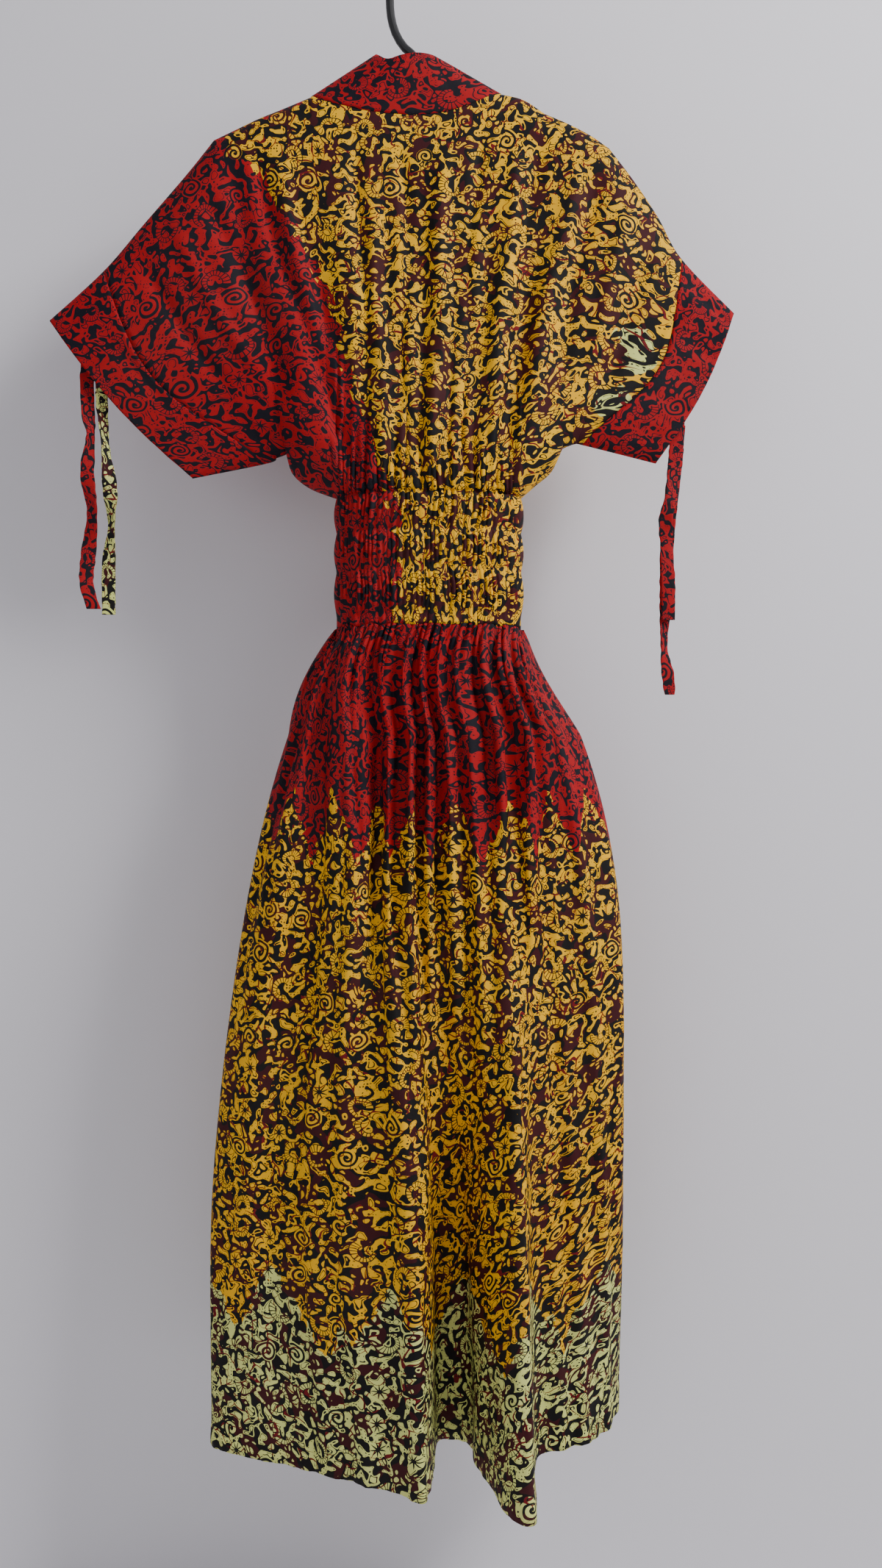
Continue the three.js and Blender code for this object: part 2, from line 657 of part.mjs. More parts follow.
// ---------------------------------------------------------------- the dress

const COLUMNS_AT = {
  left_sleeve: steps(5),
  left_side: steps(3),
  neck: NECK_COLUMNS,
  right_shoulder: steps(3),
  right_side: steps(3),
  right_sleeve: steps(5),
};
const BACK_DOWN = [0, 0.01, 0.04, 0.1, 0.22, 0.4, 0.6, 0.78, 0.9, 0.965, 1];
const FRONT_DOWN = [0, 0.02, 0.08, 0.25, 0.5, 0.75, 0.92, 0.98, 1];
const WAIST_LEVELS = [-576, -596, -616, -637, -660, -684, WAIST_Z];
const SKIRT_DOWN = [0, 0.08, 0.17, 0.26, 0.36, 0.47, 0.58, 0.69, 0.8, 0.9, 1];

const CLOTH_PIECES = {
  bodice_back: [bodice("back", COLUMNS_AT, BACK_DOWN, WAIST_LEVELS), "bodice"],
  bodice_front: [bodice("front", COLUMNS_AT, FRONT_DOWN, WAIST_LEVELS), "bodice"],
  cuff_left: [cuff("left_sleeve", BACK_DOWN, FRONT_DOWN), "red"],
  cuff_right: [cuff("right_sleeve", BACK_DOWN, FRONT_DOWN), "red"],
  neckband_back: [neckbandBack(), "red"],
  neckband_left: [neckbandFront(true), "red"],
  neckband_right: [neckbandFront(false), "red"],
  skirt_back: [skirt(BACK_FOLDS, "back", ACROSS.skirtBack, SKIRT_DOWN), "skirt"],
  skirt_front: [skirt(FRONT_FOLDS, "front", ACROSS.skirtFront, SKIRT_DOWN), "skirt"],
};

const dress = new THREE.Group();
function add(name, geometry, finish) {
  const mesh = new THREE.Mesh(geometry, new THREE.MeshStandardMaterial(FINISH[finish]));
  mesh.name = name;
  dress.add(mesh);
}

const shared = sewnNormals(Object.values(CLOTH_PIECES).map(([piece]) => piece.sheet));
for (const [name, [piece, finish]] of Object.entries(CLOTH_PIECES)) add(name, wall(piece, shared), finish);
for (const [name, stations] of Object.entries(TIES)) add(name, strap(stations), "tie");
add("hanger", hanger(), "black_plastic");

export default dress;
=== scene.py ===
"""A full-length wax print dress, seen from its back, hung on a one-piece tubular hanger.

The tables are in millimetres, in the frame's own axes: +Z up, and the back of the dress faces -Y.
Every piece of cloth is a thin shell whose form comes from those tables, with its gathers, creases
and puckers pressed into it. The print is worked out in the cloth's own flat coordinates.
"""

import math
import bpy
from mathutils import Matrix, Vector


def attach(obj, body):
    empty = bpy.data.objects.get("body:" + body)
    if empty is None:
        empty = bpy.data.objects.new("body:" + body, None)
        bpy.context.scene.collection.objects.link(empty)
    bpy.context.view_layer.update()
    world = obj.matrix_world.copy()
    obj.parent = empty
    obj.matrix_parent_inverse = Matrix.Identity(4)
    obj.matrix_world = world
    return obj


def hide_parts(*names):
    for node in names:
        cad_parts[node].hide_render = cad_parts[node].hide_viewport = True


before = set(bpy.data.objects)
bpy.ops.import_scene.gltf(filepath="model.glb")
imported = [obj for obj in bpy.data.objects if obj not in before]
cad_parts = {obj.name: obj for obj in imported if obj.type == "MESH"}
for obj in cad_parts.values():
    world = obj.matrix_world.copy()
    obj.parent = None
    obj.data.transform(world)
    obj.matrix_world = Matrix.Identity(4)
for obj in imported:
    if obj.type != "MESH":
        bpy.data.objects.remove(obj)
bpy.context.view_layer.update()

from types import SimpleNamespace

import bpy
import numpy as np

bl_info = {
    "name": "Wax Print Dress",
    "version": (1, 0, 0),
    "blender": (4, 5, 0),
    "location": "3D View > Sidebar > Dress",
    "description": "Builds a wax print dress on its hanger, piece by piece",
    "category": "Object",
}

MM = 0.001
RNG_SEED = 11
FULL_TURN = 2 * math.pi

# ---------------------------------------------------------------- the dress, in millimetres

WAIST_Z = -697.0
ELASTIC_Z = np.array([-557.0, -596.0, -637.0, -684.0])  # rows of elastic across the waist
ELASTIC_PUFF = 3.0  # the cloth stands out this far between two rows
WAIST = SimpleNamespace(centre=17.0, half=98.0, back=44.0, front=36.0, power=2.3)
GATHER_SWAY = 8.0  # the skirt hangs this far to the left just below its gathers
CUFF_T = 0.25  # share of the sleeve, from its opening, that the cuff takes
CUFF_BOW = 0.09
OPENING_BOW = 9.0
UNDERARM_REACH = 60.0  # from a fold or the waist to where the cloth is at its full depth

# Columns of cloth from the top edge to the bottom edge, left to right.
STATION = ["topX", "backZ", "frontZ", "bottomX", "bottomZ", "upper", "lower", "round"]
SEGMENTS = {
    "left_sleeve": [
        [-390, -367, -367, -237, -535, 8, 9, 2.5],
        [-332, -314, -314, -158, -519, 13, 14, 2.5],
        [-289, -264, -264, -147, -513, 16, 19, 3],
        [-243, -211, -211, -139, -510, 17, 23, 5],
        [-213, -174, -174, -133, -507, 16, 26, 8],
    ],
    "left_side": [
        [-190, -163, -163, -132, -523, 16, 28, 8],
        [-165, -151, -151, -125, -535, 16, 33, 8],
        [-140, -141, -141, -108, -547, 16, 40, 8],
        [-109, -128, -128, -81, -557, 17, 43, 8],
    ],
    "neck": [
        [-96, -137, -162, -69, -557, 18, 45, 8],
        [-73, -144, -220, -52, -557, 19, 48, 8],
        [-49, -149.5, -281, -34, -557, 20, 50, 8],
        [-25, -152.5, -342, -12, -557, 21, 52, 8],
        [6, -154, -420, 16, -557, 21, 53, 8],
        [38, -150, -313, 42, -557, 21, 52, 8],
        [66, -140, -219, 66, -557, 20, 50, 8],
        [94, -125, -125, 88, -557, 18, 47, 8],
    ],
    "right_shoulder": [
        [118, -131, -131, 103, -557, 17, 45, 8],
        [141, -146, -146, 115, -557, 16, 42, 8],
    ],
    "right_side": [
        [165, -156, -156, 131, -543, 16, 38, 8],
        [190, -169, -169, 148, -528, 16, 32, 8],
        [210, -183, -183, 160, -503, 17, 28, 8],
    ],
    "right_sleeve": [
        [237, -218, -218, 167, -500, 18, 25, 5],
        [263, -257, -257, 174, -498, 17, 20, 3],
        [288, -301, -301, 182, -499, 13, 14, 2.5],
        [344, -359, -359, 261, -519, 8, 9, 2.5],
    ],
}

# Soft pleats of the back: x at the shoulder blades, x at the waist, depth, width.
PLEAT_TOP_Z = -170.0
PLEAT_GROWTH = (0.02, 0.45)  # shares of a pleat's run over which it deepens
PLEATS = [
    (-118, -58, 7, 15),
    (-30, -20, 6, 11),
    (12, 8, 7, 11),
    (52, 34, 6, 11),
    (88, 62, 6, 11),
    (150, 92, 7, 13),
]

# The skirt's folds, left to right: x at the waist, hip, thigh, knee and hem, then y at each, then
# the height of the hem.
SKIRT_Z = [WAIST_Z, -811.0, -970.0, -1286.0]
HEIGHTS = len(SKIRT_Z) + 1
SIDE_LEFT = [-84, -133, -174, -214, -216, 0, 0, 0, 0, 0, -1564]
SIDE_RIGHT = [119, 179, 218, 226, 226, 0, 0, 0, 8, 45, -1543]
BACK_FOLDS = [
    SIDE_LEFT,
    [-81, -128, -168, -208, -208, -12, -16, -16, -12, -22, -1566],
    [-74, -112, -140, -180, -172, -24, -36, -40, -30, -38, -1568],
    [-66, -96, -101, -137, -122, -30, -32, -40, -38, -54, -1570],
    [-56, -74, -76, -100, -85, -37, -54, -62, -62, -72, -1570],
    [-44, -52, -50, -62, -44, -40, -52, -66, -78, -90, -1571],
    [-33, -34, -32, -24, -14, -41, -42, -58, -88, -101, -1573],
    [-22, -24, -24, -4, 6, -46, -60, -72, -104, -112, -1575],
    [-11, -13, -16, 8, 14, -43, -46, -66, -103, -111, -1575],
    [-1, -2, -2, 15, 19, -48, -64, -78, -90, -98, -1573],
    [8, 9, 9, 19, 21, -45, -50, -66, -60, -58, -1566],
    [16, 18, 18, 25, 26, -49, -64, -74, -38, -24, -1560],
    [24, 26, 28, 40, 44, -45, -48, -62, -34, -15, -1560],
    [33, 36, 42, 54, 61, -49, -64, -74, -38, -26, -1562],
    [43, 46, 56, 64, 68, -45, -50, -62, -52, -60, -1566],
    [53, 58, 67, 76, 80, -48, -62, -74, -74, -92, -1570],
    [64, 76, 80, 92, 94, -43, -48, -66, -90, -128, -1578],
    [75, 90, 96, 108, 110, -45, -60, -74, -100, -143, -1581],
    [86, 106, 112, 118, 123, -38, -44, -60, -90, -134, -1580],
    [96, 118, 124, 126, 130, -37, -54, -62, -52, -44, -1566],
    [105, 132, 146, 158, 164, -28, -40, -44, -40, -32, -1562],
    [113, 152, 178, 190, 196, -22, -38, -40, -30, -12, -1560],
    [116, 172, 210, 219, 219, -12, -18, -20, -14, 18, -1552],
    SIDE_RIGHT,
]
FRONT_FOLDS = [
    SIDE_LEFT,
    [-78, -125, -165, -203, -206, 12, 14, 12, 10, 12, -1566],
    [-66, -100, -128, -160, -152, 24, 32, 30, 26, 30, -1566],
    [-48, -72, -88, -112, -104, 29, 24, 22, 22, 20, -1565],
    [-28, -40, -48, -62, -56, 33, 36, 34, 32, 34, -1565],
    [-8, -10, -12, -16, -12, 35, 28, 26, 24, 22, -1564],
    [14, 18, 22, 26, 30, 36, 38, 36, 34, 38, -1562],
    [36, 46, 56, 70, 74, 35, 28, 26, 26, 26, -1560],
    [58, 76, 92, 112, 116, 32, 36, 34, 34, 40, -1556],
    [80, 106, 128, 152, 158, 27, 24, 22, 26, 34, -1552],
    [100, 140, 168, 192, 198, 20, 30, 28, 34, 50, -1548],
    [114, 170, 208, 220, 224, 9, 12, 14, 24, 58, -1544],
    SIDE_RIGHT,
]

# The neckband's free edge along the back, and where it ends in the point of the front's V.
BAND_TOP = np.array([[-40, -83], [-28, -93], [-13, -90], [2, -86], [14, -85], [26, -86]], float)
BAND_POINT = (6.0, -292.0)
V_POINT_T = 0.625  # share of the neck seam, from the left, at the point
NECK_DEPTH = SimpleNamespace(
    back=18.0, shoulder=13.0, point=24.0, top=-127.0, bottom=-420.0, round=8.0
)

# The middle of each strap at each height, its width there, and how far it is turned.
TIES = {
    "tie_left_outer": [
        [-349, 3, -404, 16, 0],
        [-351, 2, -430, 15, 5],
        [-349, 0, -470, 14, 20],
        [-346, -2, -490, 12, 62],
        [-350, -1, -530, 15, 12],
        [-345, 0, -572, 14, -30],
        [-349, 1, -615, 16, 8],
        [-351, 0, -648, 15, 20],
        [-343, -1, -676, 15, 5],
    ],
    "tie_left_inner": [
        [-334, 3, -420, 15, 0],
        [-335, 2, -452, 13, 12],
        [-331, 1, -500, 10, 48],
        [-326, 0, -545, 16, 5],
        [-324, -1, -585, 12, -44],
        [-327, 0, -625, 15, -8],
        [-327, 0, -682, 14, 6],
    ],
    "tie_right_front": [
        [284, 0, -474, 15, 0],
        [282, -1, -515, 16, 6],
        [277, -3, -556, 15, 20],
        [271, -3, -580, 15, -12],
        [272, -3, -610, 14, 10],
        [274, -2, -650, 15, 4],
        [274, -2, -688, 14, 0],
    ],
    "tie_right_behind": [
        [286, 4, -478, 15, 0],
        [280, 4, -540, 15, -4],
        [274, 4, -600, 15, 4],
        [272, 4, -665, 13, 0],
        [270, 2, -714, 10, 40],
        [274, 2, -745, 14, 10],
        [276, 1, -768, 11, 0],
    ],
}
TIE_THICKNESS = 2.0

# ---------------------------------------------------------------- curves and tables


def smoothstep(x, low, high):
    f = np.clip((x - low) / (high - low), 0, 1)
    return f * f * (3 - 2 * f)


def lerp(a, b, f):
    return a + (b - a) * f


def round_edge(distance, reach):
    """0 at a folded edge, rising like a quarter ellipse to 1 at reach."""
    left = 1 - np.clip(distance / reach, 0, 1)
    return np.sqrt(1 - left * left)


def smooth_rows(rows, t):
    """Each column of a table as a smooth line through its rows, t from 0 to 1."""
    rows = np.asarray(rows, float)
    last = len(rows) - 1
    t = np.asarray(t, float)
    i = np.minimum(np.floor(t * last).astype(int), last - 1)
    f = (t * last - i)[..., None]
    a, b, c, d = (rows[np.clip(i + k, 0, last)] for k in (-1, 0, 1, 2))
    return b + 0.5 * f * (c - a + f * (2 * a - 5 * b + 4 * c - d + f * (3 * (b - c) + d - a)))


SEGMENT_NAMES = list(SEGMENTS)
SLEEVES = ("left_sleeve", "right_sleeve")
ON_WAIST = ("neck", "right_shoulder")


def stations_of(name):
    """A segment's stations, with the last one of the segment before it."""
    i = SEGMENT_NAMES.index(name)
    before = [SEGMENTS[SEGMENT_NAMES[i - 1]][-1]] if i else []
    return before + SEGMENTS[name]


NECK_ROWS = stations_of("neck")
FOLD_LINES = []
for seam, free in ((NECK_ROWS[0], BAND_TOP[0]), (NECK_ROWS[-1], BAND_TOP[-1])):
    start = np.array([seam[0], seam[1]], float)
    FOLD_LINES.append((start, (free - start) / np.linalg.norm(free - start)))


def waist_depth(x, side):
    """Depth of one side of the waist at x: a rounded oval."""
    across = np.clip(np.abs(x - WAIST.centre) / WAIST.half, 0, 1)
    return getattr(WAIST, side) * (1 - across**WAIST.power) ** (1 / WAIST.power)


def pleat_depth(x, z):
    fall = np.clip((z - PLEAT_TOP_Z) / (ELASTIC_Z[0] - PLEAT_TOP_Z), 0, 1)
    total = 0
    for shoulder_x, waist_x, depth, width in PLEATS:
        away = (x - lerp(shoulder_x, waist_x, fall)) / width
        total = total + depth * np.exp(-away * away)
    return smoothstep(fall, *PLEAT_GROWTH) * total


def neck_depth(x, z, side):
    """Depth of the cloth round the neck, where it folds over the hanger."""
    n = NECK_DEPTH
    full = n.back
    if side == "front":
        full = lerp(n.shoulder, n.point, smoothstep(-z, -n.top, -n.bottom))
    away = [
        np.abs((x - start[0]) * along[1] - (z - start[1]) * along[0]) for start, along in FOLD_LINES
    ]
    return full * round_edge(np.minimum(*away), full * full / n.round)


def bodice_points(name, t, h, side):
    """Points of the bodice's form: t runs across a segment and h down the column."""
    t, h = np.broadcast_arrays(t, h)
    row = dict(zip(STATION, np.moveaxis(smooth_rows(stations_of(name), t), -1, 0)))
    top_x, top_z = row["topX"], row[side + "Z"]
    top_depth = neck_depth(top_x, top_z, side) if name == "neck" else 0.0
    bottom_x, bottom_z = row["bottomX"], row["bottomZ"]
    bottom_depth = waist_depth(bottom_x, side) if name in ON_WAIST else 0.0
    length = np.hypot(top_x - bottom_x, top_z - bottom_z)
    full = lerp(row["upper"], row["lower"], smoothstep(h, 0, 1))
    full = full * getattr(WAIST, side) / WAIST.back
    from_top = round_edge(h * length, row["upper"] ** 2 / row["round"])
    from_bottom = round_edge((1 - h) * length, UNDERARM_REACH)
    depth = bottom_depth + (full - bottom_depth) * from_bottom
    x, z = lerp(top_x, bottom_x, h), lerp(top_z, bottom_z, h)
    if name in SLEEVES:
        to_opening = 1 - t if name == "left_sleeve" else t
        bow = OPENING_BOW * to_opening**2 * np.sin(np.pi * h)
        way = 1 if name == "left_sleeve" else -1
        x = x + way * bow * (bottom_z - top_z) / length
        z = z + way * bow * (top_x - bottom_x) / length
    elif side == "back":
        depth = depth - pleat_depth(x, z) * from_bottom
    depth = lerp(top_depth, depth, from_top)
    return np.stack([x, -depth if side == "back" else depth, z], -1)


def cuff_seam(name, h):
    """Where along its sleeve the cuff's seam lies, h of the way down."""
    from_opening = CUFF_T - CUFF_BOW * np.sin(np.pi * h)
    return from_opening if name == "left_sleeve" else 1 - from_opening


def elastic_band(z):
    """Which band between two rows of elastic holds z, from 1, and how far down it z lies."""
    band = np.clip(np.searchsorted(-ELASTIC_Z, -z), 1, len(ELASTIC_Z) - 1)
    above, below = ELASTIC_Z[band - 1], ELASTIC_Z[band]
    return band, (above - z) / (above - below)


def waist_points(x, z, side):
    """The waist below the bodice, drawn in by the rows of elastic."""
    x, z = np.broadcast_arrays(x, z)
    between = np.where(z < ELASTIC_Z[-1], 0, elastic_band(z)[1])
    puff = ELASTIC_PUFF * np.sin(np.pi * np.clip(between, 0, 1))
    depth = waist_depth(x, side) * (1 + puff / getattr(WAIST, side))
    centred = WAIST.centre + (x - WAIST.centre) * (1 + puff / WAIST.half)
    return np.stack([centred, -depth if side == "back" else depth, z], -1)


def skirt_points(folds, t, v):
    """Lines of cloth, each a smooth curve through its five heights, v from waist to hem."""
    row = smooth_rows(folds, t)
    levels = [np.full(len(t), z) for z in SKIRT_Z] + [row[:, -1]]
    line = [np.stack([row[:, i], row[:, HEIGHTS + i], levels[i]], -1) for i in range(HEIGHTS)]
    line = [2 * line[0] - line[1]] + line + [2 * line[-1] - line[-2]]
    gaps = [((b - a) ** 2).sum(-1, keepdims=True) ** 0.25 for a, b in zip(line, line[1:])]
    out = np.zeros((len(t), len(v), 3))
    spans = HEIGHTS - 1
    for j, share in enumerate(v):
        k = min(int(share * spans), spans - 1)
        f = share * spans - k
        a, b, c, d = line[k : k + 4]
        g0, g1, g2 = gaps[k : k + 3]
        leave = ((b - a) / g0 - (c - a) / (g0 + g1) + (c - b) / g1) * g1
        enter = ((c - b) / g1 - (d - b) / (g1 + g2) + (d - c) / g2) * g1
        curve = 2 * b - 2 * c + leave + enter
        bend = -3 * b + 3 * c - 2 * leave - enter
        out[:, j] = b + f * (leave + f * (bend + f * curve))
    fall = np.clip((WAIST_Z - out[..., 2]) / (WAIST_Z - SKIRT_Z[1]), 0, 1)
    out[..., 0] -= GATHER_SWAY * np.sin(np.pi * fall)
    return out


# ---------------------------------------------------------------- gathers, creases and puckers

# Each kind of unevenness has a seed of its own. Both sides of the waist seam share one.
SEED = SimpleNamespace(
    back_gathers=1, front_gathers=2, bodice_folds=5, cuff_wave=7, cuff_fine=8, neckband=9,
    skirt_upper=12, skirt_long=13, skirt_slant=14, skirt_level=15, hem=16, skirt_valleys=17,
    border=21, shirring=30, bodice_slant=34, bodice_cross=35, tucks=36, ties=40, seam=50,
)
CREASE_FADE = 50.0  # a crease fades out over this length at each end
CREASE_LEAD = 6.0  # and starts this far beyond it
CREASE_WANDER = SimpleNamespace(width=3.5, run=37.0)


def ripple(u, period, seed):
    """Uneven waves of about one period, from -1 to 1."""
    phase = np.random.default_rng(RNG_SEED + seed).uniform(0, 2 * np.pi, 5)
    drift = 0.22 * np.sin(2 * np.pi * u / (4.3 * period) + phase[0])
    drift = drift + 0.15 * np.sin(2 * np.pi * u / (9.1 * period) + phase[1])
    w = 2 * np.pi * (u / period + drift)
    swell = 0.65 + 0.35 * np.sin(2 * np.pi * u / (6.7 * period) + phase[2])
    return swell * (0.75 * np.sin(w + phase[3]) + 0.25 * np.sin(1.73 * w + phase[4]))


def valleys(u, along, spacing, depth, reaches, width, seed):
    """Narrow folds that start at a line of gathers and run on from it, each its own way."""
    rng = np.random.default_rng(RNG_SEED + seed)
    total = np.zeros(np.broadcast(u, along).shape)
    away = np.maximum(along, 0)
    for start in np.arange(u.min() + spacing / 2, u.max(), spacing):
        middle = start + rng.uniform(-0.38, 0.38) * spacing
        reach, deep = rng.uniform(*reaches), depth * rng.uniform(0.45, 1.0)
        lean, wide = rng.uniform(-0.05, 0.05), width * rng.uniform(0.7, 1.3)
        off = (u - middle - lean * away) / (wide * (1 + away / 150.0))
        total += deep * np.exp(-((away / reach) ** 2)) * np.exp(-off * off)
    return total


def seam_wave(x, off):
    """The waist seam wanders up and down a little."""
    return SEAM_WAVE * ripple(x, 31.0, SEED.seam) * np.exp(-((off / 16.0) ** 2))


# Creases lie as soft troughs or ridges: two ends (x, z), width and depth. Minus is a ridge.
BACK_CREASES = [
    ((-300, -300), (-190, -452), 9, 2.4),
    ((-262, -262), (-160, -440), 8, -2.0),
    ((-232, -230), (-150, -380), 10, 2.6),
    ((-345, -378), (-250, -470), 8, 1.8),
    ((-200, -190), (-138, -470), 12, 2.8),
    ((-174, -180), (-88, -470), 9, 3.2),
    ((-150, -186), (-70, -500), 9, -2.4),
    ((-128, -214), (-66, -545), 8, 3.0),
    ((-60, -170), (-42, -540), 8, 2.6),
    ((-42, -240), (-30, -548), 7, -2.2),
    ((-8, -180), (-6, -545), 8, 2.6),
    ((34, -185), (22, -545), 8, -2.2),
    ((70, -165), (50, -540), 8, 2.4),
    ((112, -180), (78, -540), 8, -2.2),
    ((134, -176), (96, -535), 9, 2.8),
    ((176, -196), (116, -500), 9, -2.4),
    ((196, -210), (150, -450), 10, 2.8),
    ((236, -245), (178, -440), 9, -2.2),
    ((262, -282), (192, -460), 9, 2.6),
    ((300, -340), (214, -470), 8, 2.0),
]
FRONT_CREASES = [
    ((-290, -290), (-180, -450), 10, 2.4),
    ((-250, -250), (-155, -420), 9, -2.0),
    ((-205, -200), (-130, -460), 12, 2.8),
    ((-150, -190), (-84, -480), 10, 2.6),
    ((-110, -210), (-60, -535), 9, -2.2),
    ((-60, -300), (-36, -545), 8, 2.4),
    ((-20, -380), (-8, -545), 8, -2.0),
    ((40, -370), (30, -545), 8, 2.2),
    ((90, -240), (64, -540), 9, 2.6),
    ((130, -200), (92, -530), 9, -2.2),
    ((180, -210), (130, -480), 10, 2.6),
    ((235, -250), (180, -450), 10, -2.2),
    ((280, -320), (205, -465), 9, 2.2),
]


def crease_depth(creases, x, z):
    """Sum of the creases' depths at x and z."""
    total = np.zeros_like(x)
    for (x0, z0), (x1, z1), width, depth in creases:
        along = np.array([x1 - x0, z1 - z0], float)
        length = np.hypot(*along)
        along /= length
        run = (x - x0) * along[0] + (z - z0) * along[1]
        away = (x - x0) * along[1] - (z - z0) * along[0]
        away = away + CREASE_WANDER.width * np.sin(run / CREASE_WANDER.run + x0)
        ends = smoothstep(run, -CREASE_LEAD, CREASE_FADE)
        ends = ends * (1 - smoothstep(run, length - CREASE_FADE, length + CREASE_LEAD))
        total += depth * ends * np.exp(-((away / width) ** 2))
    return total


# ---------------------------------------------------------------- sheets of cloth


class Sheet:
    """A grid of points as an open sheet of cloth, with its flat coordinates in the same shape.

    back turns its faces towards -Y, loop joins the last column to the first, and keep leaves out
    the points that it marks false.
    """

    def __init__(self, points, flat, back, loop=False, keep=None):
        self.points, self.flat, self.back, self.loop = points, flat, back, loop
        self.keep = np.ones(points.shape[:2], bool) if keep is None else keep
        self.marks = {}

    def quads(self):
        columns, rows = self.points.shape[:2]
        index = np.arange(columns * rows).reshape(columns, rows)
        if self.loop:
            index = np.vstack([index, index[:1]])
        a, b, c, d = index[:-1, :-1], index[:-1, 1:], index[1:, 1:], index[1:, :-1]
        corners = np.stack([a, b, c, d], -1).reshape(-1, 4)
        corners = corners[self.keep.reshape(-1)[corners].all(-1)]
        return corners if self.back else corners[:, ::-1]

    def normals(self):
        points = self.points.reshape(-1, 3)
        quads = self.quads()
        a, b, c, d = (points[quads[:, k]] for k in range(4))
        side = np.cross(c - a, d - b)
        out = np.zeros_like(points)
        for corner in range(4):
            np.add.at(out, quads[:, corner], side)
        size = np.linalg.norm(out, axis=1, keepdims=True)
        return (out / np.where(size > 0, size, 1)).reshape(self.points.shape)

    def press(self, depth):
        """Moves the cloth in by depth, along its own normals."""
        self.points = self.points - self.normals() * depth[..., None]


def cosine_steps(count):
    return 0.5 - 0.5 * np.cos(np.pi * np.linspace(0, 1, count + 1))


def run_down(points):
    """Length along each column, from its top."""
    gaps = np.linalg.norm(np.diff(points, axis=1), axis=-1)
    return np.concatenate([np.zeros((len(points), 1)), np.cumsum(gaps, 1)], 1)


def run_across(points, row):
    """Length along one row, from its left."""
    gaps = np.linalg.norm(np.diff(points[:, row], axis=0), axis=-1)
    return np.concatenate([[0], np.cumsum(gaps)])


# ---------------------------------------------------------------- the pieces' forms

BODICE_COLUMNS = {
    "back": {
        "left_sleeve": 44, "left_side": 26, "neck": 200, "right_shoulder": 26, "right_side": 22,
        "right_sleeve": 44,
    },
    "front": {
        "left_sleeve": 36, "left_side": 22, "neck": 130, "right_shoulder": 20, "right_side": 18,
        "right_sleeve": 36,
    },
}
BODICE_ROWS = {"back": 72, "front": 60}
WAIST_ROWS = 36
SKIRT_GRID = {"back": (299, 150), "front": (192, 110)}
GATHER_PERIOD = 7.5
GATHER_SEED = {"back": SEED.back_gathers, "front": SEED.front_gathers}
PUFF_ROW_SHARE = 0.7  # the gathers flatten by this share at a row of elastic
GATHERED_MORE = 0.6  # so much more cloth lies across the waist than its own width
SEAM_WAVE = 2.2

# Where the red of the print gives way to yellow on the bodice: x at each height.
RED_EDGE_Z = [-700, -574, -548, -490, -417, -344, -271, -235, -206, -198, -100]
RED_EDGE_X = [-13, -20, -31, -46, -71, -90, -130, -155, -165, -196, -205]
RED_STRIP_X = [-230, -108, -92]  # a strip of red runs along the left shoulder and narrows
RED_STRIP_WIDTH = [15, 5, -60]
LIME_PATCHES = [(236, -400, 22), (210, -458, 20)]  # x, z and radius, on the right sleeve

# The borders of the skirt's bands of colour: height, and the rise and period of their spikes.
RED_TO_YELLOW = SimpleNamespace(z=-915.0, rise=34.0, period=62.0)
YELLOW_TO_LIME = SimpleNamespace(z=-1417.0, rise=38.0, period=98.0)
IN_ZONE, NO_ZONE = 200.0, -200.0  # well inside a colour's zone, and well outside it


def column_steps(name, count):
    """Even columns, or on the neck closer together by the shoulder folds."""
    even = np.linspace(0, 1, count + 1)
    if name != "neck":
        return even
    return np.unique(np.append(lerp(cosine_steps(count), even, 0.5), V_POINT_T))


def bodice_grid(side, h):
    """The bodice's points, with rows for the waist, and which columns run on into the waist."""
    waist_z = np.linspace(ELASTIC_Z[0], WAIST_Z, WAIST_ROWS + 1)[1:]
    upper, waist, has_waist = [], [], []
    for name in SEGMENT_NAMES:
        t = column_steps(name, BODICE_COLUMNS[side][name])
        if name != "left_sleeve":
            t = t[1:]
        along = np.broadcast_to(t[:, None], (len(t), len(h)))
        if name in SLEEVES:
            seam = cuff_seam(name, h)[None]
            along = lerp(seam, 1, along) if name == "left_sleeve" else lerp(0, seam, along)
        upper.append(bodice_points(name, along, h[None], side))
        x = smooth_rows(stations_of(name), t)[:, STATION.index("bottomX")]
        waist.append(waist_points(x[:, None], waist_z[None], side))
        corner = (name == "left_side") & (t == 1)
        has_waist.append(corner | (name in ON_WAIST))
    points = np.concatenate([np.concatenate(upper), np.concatenate(waist)], 1)
    return points, np.concatenate(has_waist)


def bodice_flat(points, rows, down):
    """Flat coordinates: straight down each column from its top, and wider where it gathers."""
    ends = points[:, [0, rows - 1]][..., [0, 2]]
    way = (ends[:, 1] - ends[:, 0]) / np.linalg.norm(ends[:, 1] - ends[:, 0], axis=1, keepdims=True)
    flat = ends[:, :1] + way[:, None] * down[..., None]
    gathered = 1 - smoothstep(points[..., 2], ELASTIC_Z[0] - 20, ELASTIC_Z[0] + 150)
    off_centre = np.clip(points[..., 0] - WAIST.centre, -WAIST.half, WAIST.half)
    flat[..., 0] += GATHERED_MORE * gathered * off_centre
    return flat


def bodice_zones(x, z, down):
    """How far each point lies inside the red and the lime of the print."""
    edge = np.interp(z, RED_EDGE_Z, RED_EDGE_X) - x
    strip = np.interp(x, RED_STRIP_X, RED_STRIP_WIDTH) - down
    near = [radius - np.hypot(x - cx, z - cz) for cx, cz, radius in LIME_PATCHES]
    return {"red_in": np.maximum(edge, strip), "lime_in": np.maximum(*near)}


